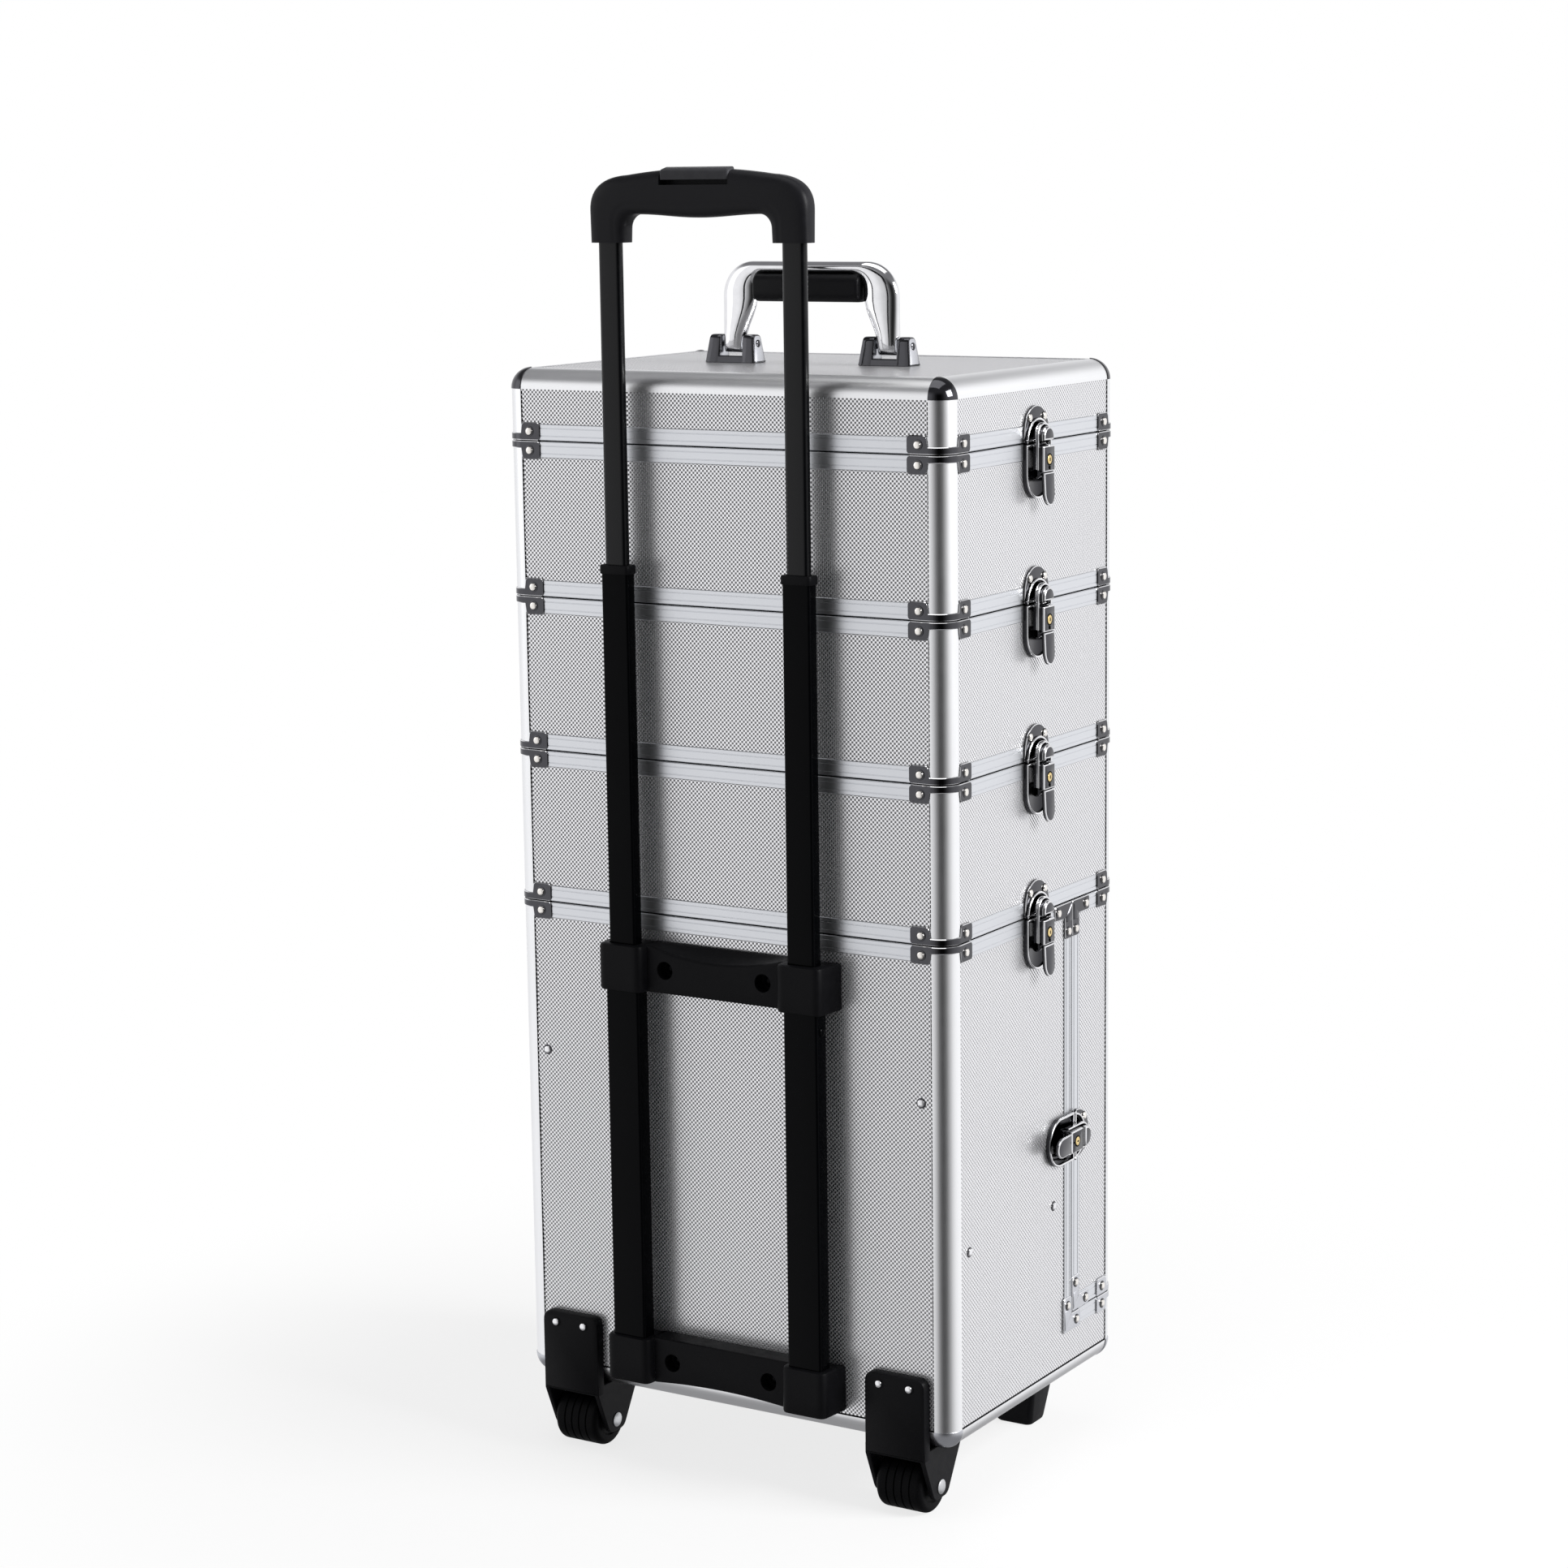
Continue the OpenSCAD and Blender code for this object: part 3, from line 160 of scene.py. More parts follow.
# Takes the cutter's pile out of a piece with an exact boolean and keeps the result as its mesh
def carve(piece, pile):
    cutter = newObject("cutter", pileMesh("cutter", pile))
    cut = piece.modifiers.new("carve", "BOOLEAN")
    cut.operation, cut.solver, cut.object = "DIFFERENCE", "EXACT", cutter
    done = piece.evaluated_get(bpy.context.evaluated_depsgraph_get())
    carved = bpy.data.meshes.new_from_object(done)
    piece.modifiers.clear()
    piece.data = carved
    bpy.data.objects.remove(cutter)
    carved.set_sharp_from_angle(angle=radians(creases["carved"]))


# Outlines, as closed point rows in a plane
quarters = np.array([[1, 1], [-1, 1], [-1, -1], [1, -1]])  # signs of four corners, counted by quarter turns
quarterTurn = np.linspace(0, pi / 2, 15)


def onCircle(turn):  # points of the unit circle at these angles
    return np.stack([np.cos(turn), np.sin(turn)], -1)


def wholeTurn(steps):  # equal angles round a circle
    return np.linspace(0, 2 * pi, steps, endpoint=False)


def bridged(start, middle, end, t):  # quadratic curve pulled towards its middle point
    return (1 - t) ** 2 * start + 2 * t * (1 - t) * middle + t ** 2 * end


def lifted(outline, z):  # points given one more coordinate, the same for all
    return np.column_stack([outline, np.full(len(outline), z)])


def mirrored(half):  # half a curve that ends on the middle plane, and its mirror image
    return np.concatenate([half, half[-2::-1] * [-1, 1]])


# Every corner is cut back by its radius over the tangent of half its angle and bridged by a quadratic curve
def softCorners(corners, radii, steps=6):
    corners = np.asarray(corners, float)
    before, after = (np.roll(corners, way, axis=0) - corners for way in (1, -1))
    before /= np.linalg.norm(before, axis=1)[:, None]
    after /= np.linalg.norm(after, axis=1)[:, None]
    half = np.arccos(np.clip((before * after).sum(1), -1, 1)) / 2
    cut = (np.asarray(radii, float) / np.tan(half))[:, None, None]
    middle = corners[:, None]
    t = np.linspace(0, 1, steps + 1)[None, :, None]
    return bridged(middle + before[:, None] * cut, middle, middle + after[:, None] * cut, t).reshape(-1, 2)


# Quarter circles about four centres, joined by straight sides
def roundRect(w, h, r, steps=6, centre=(0, 0)):
    turn = np.arange(4)[:, None] * pi / 2 + np.linspace(0, pi / 2, steps + 1)
    mids = quarters * [w / 2 - r, h / 2 - r]
    return (mids[:, None] + r * onCircle(turn)).reshape(-1, 2) + centre


# Straight sides from z0 and a half circle whose far point is z1
def roundEnd(w, z0, z1, steps=28):
    rise = w / 2 if z1 > z0 else -w / 2
    half = onCircle(np.linspace(0, pi, steps + 1)) * [w / 2, rise] + [0, z1 - rise]
    return np.concatenate([[[w / 2, z0]], half, [[-w / 2, z0]]])


# Point rows at equal angles about a centre, read off a dense outline by its radius over angle
def sampleRound(outline, centre, count=144, fine=4000):
    closed = np.concatenate([outline, outline[:1]])
    stops = np.linspace(0, len(outline), fine, endpoint=False)
    dense = np.stack([np.interp(stops, np.arange(len(closed)), closed[:, i]) for i in (0, 1)], -1) - centre
    angle = np.arctan2(dense[:, 1], dense[:, 0])
    order = np.argsort(angle)
    want = np.linspace(-pi, pi, count, endpoint=False)
    reach = np.interp(want, angle[order], np.linalg.norm(dense, axis=1)[order], period=2 * pi)
    return reach[:, None] * onCircle(want) + centre


# Ring stacks

# An outline drawn in along its normals by each level's inset, at each level's height
def plate(outline, levels):
    outline = np.asarray(outline, float)
    edge = np.roll(outline, -1, axis=0) - outline
    edge /= np.maximum(np.linalg.norm(edge, axis=1), 1e-9)[:, None]
    normal = np.stack([edge[:, 1], -edge[:, 0]], -1)
    lean = normal + np.roll(normal, 1, axis=0)
    lean /= np.maximum((lean * normal).sum(1), 0.3)[:, None]
    area = np.sum(outline[:, 0] * np.roll(outline[:, 1], -1) - outline[:, 1] * np.roll(outline[:, 0], -1))
    inset, height = np.asarray(levels, float).T
    flat = outline[None] - np.sign(area) * lean[None] * inset[:, None, None]
    return np.concatenate([flat, np.broadcast_to(height[:, None, None], flat.shape[:2] + (1,))], -1)


# A profile of radius and height turned about the third axis
def turned(profile, steps=28):
    profile = np.asarray(profile, float)
    flat = profile[:, 0, None, None] * onCircle(wholeTurn(steps))
    return np.concatenate([flat, np.broadcast_to(profile[:, 1, None, None], flat.shape[:2] + (1,))], -1)


# A section of two coordinates carried straight along a third axis; order names the axes of section and length
def carried(section, stops, order):
    section = np.asarray(section, float)
    rings = np.zeros((len(stops), len(section), 3))
    rings[:, :, order[0]] = section[:, 0]
    rings[:, :, order[1]] = section[:, 1]
    rings[:, :, order[2]] = np.asarray(stops, float)[:, None]
    return rings


# A rounded section spanned between two boundary curves in the XZ plane, with a half depth along Y for each row
def spanned(outer, inner, depth, power, steps):
    circle = onCircle(wholeTurn(steps))
    across, deep = (np.sign(circle) * np.abs(circle) ** (2 / power)).T
    flat = (outer + inner)[:, None] / 2 + (outer - inner)[:, None] / 2 * across[None, :, None]
    return np.stack([flat[:, :, 0], depth[:, None] * deep, flat[:, :, 1]], -1)


# Local frames: along a wall, up, outwards; walls are back, left, front, right, top, bottom
wallTurn = np.array([
    [[1, 0, 0], [0, 0, 1], [0, 1, 0]], [[0, 0, -1], [1, 0, 0], [0, 1, 0]],
    [[1, 0, 0], [0, 0, -1], [0, 1, 0]], [[0, 0, 1], [1, 0, 0], [0, 1, 0]],
    [[1, 0, 0], [0, 1, 0], [0, 0, 1]], [[1, 0, 0], [0, 1, 0], [0, 0, -1]],
])
wallBase = np.array([
    [0, halfD, 0], [-halfW, 0, 0], [0, -halfD, 0], [halfW, 0, 0], [0, 0, caseTop], [0, 0, 0],
])
wallSpan = [(-run, run) for run in (panelX, panelY, panelX, panelY, panelX, panelX)]  # between the rails
alongX = np.array([[0, 0, 1], [1, 0, 0], [0, 1, 0]])  # outline in YZ, height along X


def onWall(pile, wall):  # the pile's frame on a wall
    return pile.put(wallTurn[wall], wallBase[wall])


def onCorner(pile, k):  # quarter turns about Z from the back right corner
    c, s = round(cos(k * pi / 2)), round(sin(k * pi / 2))
    return pile.put([[c, -s, 0], [s, c, 0], [0, 0, 1]], [*(quarters[k] * [panelX, panelY]), 0])


# Materials

def wire(tree, node, sockets):  # links a socket to another node's output, or sets its constant
    for name, value in sockets.items():
        if isinstance(value, bpy.types.NodeSocket):
            tree.links.new(value, node.inputs[name])
        else:
            node.inputs[name].default_value = value


def addNode(tree, kind, sockets=None, **settings):  # outputs of a new node with its settings and sockets
    made = tree.nodes.new("ShaderNode" + kind)
    for name, value in settings.items():
        setattr(made, name, value)
    wire(tree, made, sockets or {})
    return made.outputs


def mathNode(tree, operation, *values):  # one sum of one or two values
    return addNode(tree, "Math", dict(enumerate(values)), operation=operation)[0]


def ranged(tree, value, start, end, low=0.0, high=1.0, ease="LINEAR"):  # maps start..end to low..high
    sockets = {"Value": value, "From Min": start, "From Max": end, "To Min": low, "To Max": high}
    return addNode(tree, "MapRange", sockets, interpolation_type=ease)["Result"]


def mixColour(tree, factor, *colours):  # between two colours, each a node's output or three numbers
    ends = {6 + i: (*c, 1) if isinstance(c, tuple) else c for i, c in enumerate(colours)}
    return addNode(tree, "Mix", {"Factor": factor, **ends}, data_type="RGBA")[2]


def noise(tree, place, scale, detail, **more):  # soft noise over a place
    return addNode(tree, "TexNoise", {"Vector": place, "Scale": scale, "Detail": detail, **more})["Fac"]


def bump(tree, height, strength, distance):  # normals leaned by a height's slope
    return addNode(tree, "Bump", {"Height": height, "Strength": strength, "Distance": distance})["Normal"]


def newGroup(name, given, made):  # Lengths and Place are vectors, other sockets are values
    group = bpy.data.node_groups.new(name, "ShaderNodeTree")
    for way, labels in (("INPUT", given), ("OUTPUT", made)):
        for label in labels:
            kind = "NodeSocketVector" if label in ("Lengths", "Place") else "NodeSocketFloat"
            group.interface.new_socket(label, in_out=way, socket_type=kind)
    return group, group.nodes.new("NodeGroupInput").outputs, group.nodes.new("NodeGroupOutput")


patternScales = {"pitEdge": (0.12, -0.24), "stretch": (0.02, 1.0, 1.0), "smudges": (14.0, 160.0),
                 "marked": (0.12, 0.42)}


# Dimples in a staggered checker: a pit opens where cos(pi u / a) cos(pi v / a) falls through the pit's edge
def makeDimpleGroup():
    group, given, made = newGroup("dimpleChecker", ("Lengths", "Half pitch"), ("Pit", "Rise"))
    split = addNode(group, "SeparateXYZ", {"Vector": given["Lengths"]})
    rate = mathNode(group, "DIVIDE", pi, given["Half pitch"])
    waves = [mathNode(group, "COSINE", mathNode(group, "MULTIPLY", split[axis], rate)) for axis in "XY"]
    pit = ranged(group, mathNode(group, "MULTIPLY", *waves), *patternScales["pitEdge"], ease="SMOOTHSTEP")
    wire(group, made, {"Pit": pit, "Rise": mathNode(group, "SUBTRACT", 1.0, pit)})
    return group


# Fine lines along the first length: noise stretched by the ratio of the two scales
def makeBrushGroup():
    group, given, made = newGroup("brushLines", ("Lengths", "Fineness"), ("Line",))
    stretch = addNode(group, "VectorMath", {0: given["Lengths"], 1: patternScales["stretch"]}, operation="MULTIPLY")
    wire(group, made, {"Line": noise(group, stretch[0], given["Fineness"], 3.0, Roughness=0.6)})
    return group


# Handling marks: two sizes of noise, multiplied and spread over 0 to 1
def makeSmudgeGroup():
    group, given, made = newGroup("smudge", ("Place",), ("Mark",))
    wide, fine = patternScales["smudges"]
    both = mathNode(group, "MULTIPLY", noise(group, given["Place"], wide, 4.0), noise(group, given["Place"], fine, 2.0))
    wire(group, made, {"Mark": ranged(group, both, *patternScales["marked"])})
    return group


# Spark-eroded plastic grain: cells of a Voronoi field softened by half as much noise
def makeGrainGroup():
    group, given, made = newGroup("mouldGrain", ("Place", "Fineness"), ("Grain",))
    place, fineness = given["Place"], given["Fineness"]
    cells = addNode(group, "TexVoronoi", {"Vector": place, "Scale": fineness}, feature="SMOOTH_F1")
    haze = mathNode(group, "MULTIPLY", noise(group, place, fineness, 3.0), 0.5)
    wire(group, made, {"Grain": mathNode(group, "ADD", cells["Distance"], haze)})
    return group


dimpleGroup, brushGroup = makeDimpleGroup(), makeBrushGroup()
smudgeGroup, grainGroup = makeSmudgeGroup(), makeGrainGroup()


def newLook(name, metallic, sockets=None):  # a material, its tree, its shader and its coordinates
    look = bpy.data.materials.new(name)
    look.use_nodes = True
    shader = look.node_tree.nodes["Principled BSDF"]
    wire(look.node_tree, shader, {"Metallic": metallic, **(sockets or {})})
    return look, look.node_tree, shader, addNode(look.node_tree, "TexCoord")


def useGroup(tree, group, sockets):  # outputs of a group in a material
    return addNode(tree, "Group", sockets, node_tree=group)


def handled(tree, coords):  # how far a place is marked by handling
    return useGroup(tree, smudgeGroup, {"Place": coords["Object"]})["Mark"]


def toned(tone, share, lift=0.0):  # a tone times a share, plus a lift
    return tuple(c * share + lift for c in tone)


# The pit tone, far darker than the sheet's metal, is painted shade of the dimples
sheetFinish = {"pale": (0.90, 0.90, 0.91), "pit": (0.26, 0.26, 0.27), "halfPitch": 0.0015, "depth": 0.00006,
               "rough": 0.285, "pitRough": 0.5, "pitMetal": 0.1}
wear = {"line": 0.94, "rub": 0.02, "lineBump": (0.05, 0.00002), "plated": 0.9, "rubbed": (1.25, 0.0004),
        "smoother": 0.05, "rougher": 0.07, "grainBump": 0.35, "thread": (1.8, 0.005), "weaveBump": 0.5}


# Rolled sheet: a mirroring lattice round matt pits, so the pits show the light that falls on the wall; the pits are
# real dimples, but their dark tone is painted shade
def dimpledSheetWithPaintedPitShade():
    f = dots(sheetFinish)
    look, tree, shader, coords = newLook("dimpledSheetWithPaintedPitShade", 1.0)
    checker = useGroup(tree, dimpleGroup, {"Lengths": coords["UV"], "Half pitch": f.halfPitch})
    pit = checker["Pit"]
    wire(tree, shader, {"Base Color": mixColour(tree, pit, f.pale, f.pit),
                        "Roughness": ranged(tree, pit, 0, 1, f.rough, f.pitRough),
                        "Metallic": ranged(tree, pit, 0, 1, 1, f.pitMetal),
                        "Normal": bump(tree, checker["Rise"], 1.0, f.depth)})
    return look


# Drawn metal with lines along its length; line is how far they change the roughness
def drawnMetal(name, tone, rough, line, fineness):
    look, tree, shader, coords = newLook(name, 1.0)
    lines = useGroup(tree, brushGroup, {"Lengths": coords["UV"], "Fineness": fineness})["Line"]
    rub = mathNode(tree, "ADD", mathNode(tree, "MULTIPLY", lines, line),
                   mathNode(tree, "MULTIPLY", handled(tree, coords), wear["rub"]))
    wire(tree, shader, {"Base Color": mixColour(tree, lines, toned(tone, wear["line"]), tone),
                        "Roughness": mathNode(tree, "ADD", rub, rough),
                        "Normal": bump(tree, lines, *wear["lineBump"])})
    return look


# Plated or bare metal without a direction: roughness and tone follow handling marks
def plainMetal(name, tone, rough, wander):
    look, tree, shader, coords = newLook(name, 1.0)
    mark = handled(tree, coords)
    wire(tree, shader, {"Base Color": mixColour(tree, mark, tone, toned(tone, wear["plated"])),
                        "Roughness": ranged(tree, mark, 0, 1, rough, rough + wander)})
    return look


# Moulded plastic or rubber with a grain in its surface and paler rubbed marks
def mouldedBlack(name, tone, rough, fineness, depth, gloss):
    look, tree, shader, coords = newLook(name, 0.0, {"Specular IOR Level": gloss})
    grain = useGroup(tree, grainGroup, {"Place": coords["Object"], "Fineness": fineness})["Grain"]
    mark = handled(tree, coords)
    wire(tree, shader, {"Base Color": mixColour(tree, mark, tone, toned(tone, *wear["rubbed"])),
                        "Roughness": ranged(tree, mark, 0, 1, rough - wear["smoother"], rough + wear["rougher"]),
                        "Normal": bump(tree, grain, wear["grainBump"], depth)})
    return look


# Woven band or lining: ribs across one length and finer threads across the other
def wovenCloth(name, tone, ribPitch, depth):
    look, tree, shader, coords = newLook(name, 0.0, {"Roughness": 0.85, "Sheen Weight": 0.2})
    split = addNode(tree, "SeparateXYZ", {"Vector": coords["UV"]})
    rib, thread = (mathNode(tree, "SINE", mathNode(tree, "MULTIPLY", split[axis], turns * pi / ribPitch))
                   for axis, turns in (("Y", 2), ("X", 3)))
    weave = mathNode(tree, "MULTIPLY", rib, thread)
    paler = toned(tone, *wear["thread"])
    wire(tree, shader, {"Base Color": mixColour(tree, ranged(tree, weave, 0, 1, 0.5, 1.0), tone, paler),
                        "Normal": bump(tree, weave, wear["weaveBump"], depth)})
    return look


looks = {
    "sheet": dimpledSheetWithPaintedPitShade(),
    "rail": drawnMetal("satinRail", (0.92, 0.925, 0.93), 0.28, 0.03, 1100.0),
    "strip": drawnMetal("brushedStrip", (0.72, 0.735, 0.76), 0.29, 0.05, 1400.0),
    "chrome": plainMetal("brightChrome", (0.88, 0.88, 0.89), 0.05, 0.05),
    # Chrome of the clamps, latches, clevises and lid balls, darkened as a painted dark reflection; bright chrome is its
    # true tone
    "clamp": plainMetal("chromeWithPaintedDarkReflection", (0.085, 0.085, 0.092), 0.08, 0.06),
    # Near-black chrome as painted shade, on pan floors and round rivet domes
    "pan": plainMetal("chromeWithPaintedShade", (0.03, 0.03, 0.034), 0.12, 0.06),
    "rivet": plainMetal("rivetNickel", (0.90, 0.87, 0.82), 0.12, 0.06),
    "satin": plainMetal("satinPlate", (0.60, 0.61, 0.64), 0.24, 0.06),
    "zinc": plainMetal("zincSteel", (0.62, 0.63, 0.64), 0.30, 0.14),
    "brass": plainMetal("lockBrass", (0.86, 0.66, 0.30), 0.18, 0.10),
    "mould": mouldedBlack("mouldedBlack", (0.0032, 0.0032, 0.0040), 0.46, 1500.0, 0.00012, 0.09),
    "tube": mouldedBlack("coatedTube", (0.0009, 0.0010, 0.0014), 0.17, 2600.0, 0.00001, 0.05),
    "innerTube": mouldedBlack("coatedInnerTube", (0.0016, 0.0018, 0.0024), 0.20, 2600.0, 0.00001, 0.24),
    "button": mouldedBlack("buttonGrey", (0.045, 0.045, 0.05), 0.38, 2000.0, 0.00004, 0.13),
    "tread": mouldedBlack("treadRubber", (0.0018, 0.0018, 0.0022), 0.50, 1100.0, 0.00016, 0.06),
    "sleeve": mouldedBlack("sleeveBlack", (0.0045, 0.0045, 0.0055), 0.40, 1800.0, 0.00008, 0.11),
    "grip": mouldedBlack("gripBlack", (0.0095, 0.0095, 0.0115), 0.42, 1800.0, 0.00008, 0.13),
    # Near-black painted shade for seams, slots and holes
    "gap": mouldedBlack("paintedGapShade", (0.002, 0.002, 0.0025), 0.70, 900.0, 0.00005, 0.05),
    "lining": wovenCloth("liningCloth", (0.018, 0.018, 0.020), 0.0012, 0.00012),
    "elastic": wovenCloth("elasticWeave", (0.015, 0.015, 0.016), 0.0022, 0.0003),
}
print("finishes:", len(looks))


seamShadeDashes = {"dark": 2.0, "light": 1.1, "least": 0.05}


# Walls: dimpled sheets, lined inside; along their cut sides dashes of painted shade stand for the dimples cut at the
# rail and the seam's shadow, and chosen ends (-1 low, 1 both) get a line of painted shade
def addSheet(pile, wall, z0, z1, ends=0, span=None):
    a0, a1 = span or wallSpan[wall]
    face, back, seam = -case.recess, -case.recess - case.sheetT, case.seam
    section = [[a0, back], [a0, face], [a0 + seam, face], [a1 - seam, face], [a1, face], [a1, back]]
    starts = np.arange(z0 + seam, z1 - seam, seamShadeDashes["dark"] + seamShadeDashes["light"])
    inner = np.stack([starts, starts + seamShadeDashes["dark"]], -1).ravel()
    stops = np.concatenate([[z0], inner[inner < z1 - seam - seamShadeDashes["least"]], [z1 - seam, z1]])
    # Finish 1, the dark gap look, on the edge bands and end rows is painted shade of the seams
    finish = np.tile([1, 0, 0, 0, 1, 2], (len(stops) - 1, 1))
    finish[1::2, [1, 3]] = 1
    finish[0, 1:4] = ends != 0
    finish[-1, 1:4] = ends > 0
    onWall(pile, wall).add(carried(section, stops, (0, 2, 1)), finish, capFinish=1)


# Lined floor of a tray, its corners notched for the rails
def addFloor(pile, z0):
    x, y = halfW - case.stripT, halfD - case.stripT
    n = railR - case.stripT + case.notchClear
    notch = np.array([[x, y - n], [x - n, y - n], [x - n, y]])
    outline = np.concatenate([notch[::-1] * [1, -1], notch, notch[::-1] * [-1, 1], -notch])
    pile.at(z=z0).add(plate(outline, [(0, 0), (0, case.floorT)]), 2)


# Quarter-round rail section: outer arc out and inner arc back
def railSection():
    arc = onCircle(np.linspace(0, pi / 2, 25))
    return np.concatenate([(railR - case.railT) * arc[::-1], railR * arc])


def addRails(pile, z0, z1, corners):  # upright rails at chosen corners
    for k in corners:
        onCorner(pile, k).add(carried(railSection(), [z0, z1], (0, 1, 2)))


# Rails along the four outer edges, above (side 1) or below (side -1) the walls
def addEdgeRails(pile, z, side):
    pile.at(z=z - side * railR)
    for s in (-1, 1):
        section = railSection() * [s, side]
        pile.add(carried(section + [s * panelY, 0], wallSpan[0], (1, 2, 0)))
        pile.add(carried(section + [s * panelX, 0], wallSpan[1], (0, 2, 1)))


stripFace = {"edge": 0.5, "grooves": (0.27, 0.73), "grooveW": 0.7, "grooveD": 0.22}


# Outer face of a strip from level z0 to z1: eased edges and two shallow grooves
def stripOuter(z0, z1):
    f = dots(stripFace)
    half = f.grooveW / 2
    notch = np.array([[-half, 0], [-half / 2, -f.grooveD], [half / 2, -f.grooveD], [half, 0]])
    cuts = [notch + [z0 + (z1 - z0) * share, 0] for share in f.grooves]
    return np.concatenate([[[z0, -f.edge], [z0 + f.edge, 0]], *cuts, [[z1 - f.edge, 0], [z1, -f.edge]]])


# Strip on a wall with a tongue on its upper edge (kind 1), a groove in its lower edge (kind -1) or neither
def addStrip(pile, wall, z0, kind=0, span=None):
    z1 = z0 + stripH
    mid, half, up = -case.stripT / 2, case.tongueT / 2, case.tongueH
    wide, deep = half + case.tongueClear, z0 + up + case.tongueClear
    tongue = [[z1, mid + half], [z1 + up, mid + half], [z1 + up, mid - half], [z1, mid - half]]
    groove = [[z0, mid - wide], [deep, mid - wide], [deep, mid + wide], [z0, mid + wide]]
    outer = stripOuter(z0, z1)
    section = np.concatenate([[[z0, -case.stripT]], *([groove] if kind < 0 else []), outer,
                              *([tongue] if kind > 0 else []), [[z1, -case.stripT]]])
    # The strip's top and bottom edge faces, tongue and groove take the gap look as painted shade of the seam between
    # trays
    finish = [2] * (5 if kind < 0 else 1) + [1] * (len(outer) - 1) + [2] * (5 if kind > 0 else 1) + [1]
    onWall(pile, wall).add(carried(section, span or wallSpan[wall], (1, 2, 0)), [finish])


# Upright strip: the same outer face, carried up the wall
def addUpright(pile, wall, a0, a1, z0, z1):
    section = np.concatenate([[[a0, -case.stripT]], stripOuter(a0, a1), [[a1, -case.stripT]]])
    onWall(pile, wall).add(carried(section, [z0, z1], (0, 2, 1)), 1)


rivetShape = {"r": 2.7, "h": 1.5, "collar": 3.5}


# Domed rivet on a low collar with a groove between them; the groove's finish (4, the near-black chrome in the fittings)
# is painted shade
def addRivet(pile, wall, a, z, out, groove=4, dome=1):
    r, h, c = rivetShape["r"], rivetShape["h"], rivetShape["collar"]
    profile = [[c, -0.2], [c, 0.18], [c - 0.2, 0.3], [r, 0.3], [r - 0.05, 0.12], [r - 0.1, 0.5], [0.86 * r, 0.75 * h],
               [0.62 * r, 0.93 * h], [0.32 * r, h], [0.1 * r, h * 1.01]]
    finish = np.repeat([0, groove, dome], [3, 2, 4])[:, None]  # collar, groove and dome
    onWall(pile, wall).add(turned(profile) + [a, z, out], finish, capFinish=dome)


clampShape = {"t": 0.8, "bandH": 4.6, "lugL": 15.0, "lugH": 12.0, "lugR": 2.0, "lugFlat": 3.0, "rivetIn": 7.0,
              "bend": 2.4, "ease": 0.45, "sunk": 0.3}


# Sheet clamp round a corner: its section's height follows the path, full on the lugs and low round the rail
def addClamp(pile, k, z, way, finish=0):
    c = dots(clampShape)
    lug = np.concatenate([c.lugR * (1 - np.cos(np.linspace(0, pi / 2, 7))), np.linspace(c.lugFlat, c.lugL, 14)])
    arc = onCircle(np.linspace(0, pi / 2, 17)[1:-1])[:, ::-1]
    straight = lifted(lug - c.lugL, railR)
    flat = np.repeat([[0.0, 1.0]], len(lug), 0)
    path = np.concatenate([straight, railR * arc, straight[::-1, ::-1]])
    normal = np.concatenate([flat, arc, flat[:, ::-1]])
    run = np.concatenate([lug, np.full(len(arc), c.lugL), lug[::-1]])
    low = c.lugR - np.sqrt(np.maximum(c.lugR ** 2 - np.maximum(c.lugR - run, 0) ** 2, 0))
    ease = np.clip((c.lugL - run) / c.bend, 0, 1)
    top = c.bandH + (c.lugH - c.bandH) * np.sqrt(1 - (1 - ease) ** 2) - low
    rows = [(low, -c.sunk), (low, c.t - c.ease), (low + c.ease, c.t), (top - c.ease, c.t), (top, c.t - c.ease),
            (top, -c.sunk)]
    rings = np.stack([np.column_stack([path + normal * out, z + way * height]) for height, out in rows], 1)
    # Its eased edges take bright chrome (finish 3) as a painted highlight against its dark faces
    onCorner(pile, k).add(rings, [[finish, 3, finish, 3, finish, finish]], capFinish=finish)
    for wall in (k, (k + 3) % 4):
        along = quarters[k][wall % 2] * (wallSpan[wall][1] - c.rivetIn)
        addRivet(pile, wall, along, z + way * c.lugH / 2, c.t)


# L-plate with eased edges on both narrow sides, from its corner towards wy and wz
def addCornerPlates(pile, y, z, wy, wz, w, arm, finish=0):
    outline = np.array([[0, 0], [arm, 0], [arm, w], [w, w], [w, arm], [0, arm]]) * [wy, wz] + [y, z]
    outline = softCorners(outline, [1.2, 2.2, 2.2, 1.0, 2.2, 2.2])
    crease = np.array([[0.7, 0.9], [w - 0.9, w * 0.95], [w - 0.9, w * 1.35], [0.7, w * 1.35]]) * [wy, wz] + [y, z]
    for wall in (1, 3):
        # The eased edge takes bright chrome as a painted highlight
        onWall(pile, wall).add(plate(outline, [(0, -0.2), (0, 0.4), (0.45, 0.8)]), [[finish], [3]], capFinish=finish)
        pile.add(plate(crease, [(0, 0.6), (0.7, 1.3), (0.9, 1.4)]), finish)
        for p in ((arm - w / 2, w / 2), (w / 2, arm - w / 2)):
            addRivet(pile, wall, y + wy * p[0], z + wz * p[1], clampShape["t"])


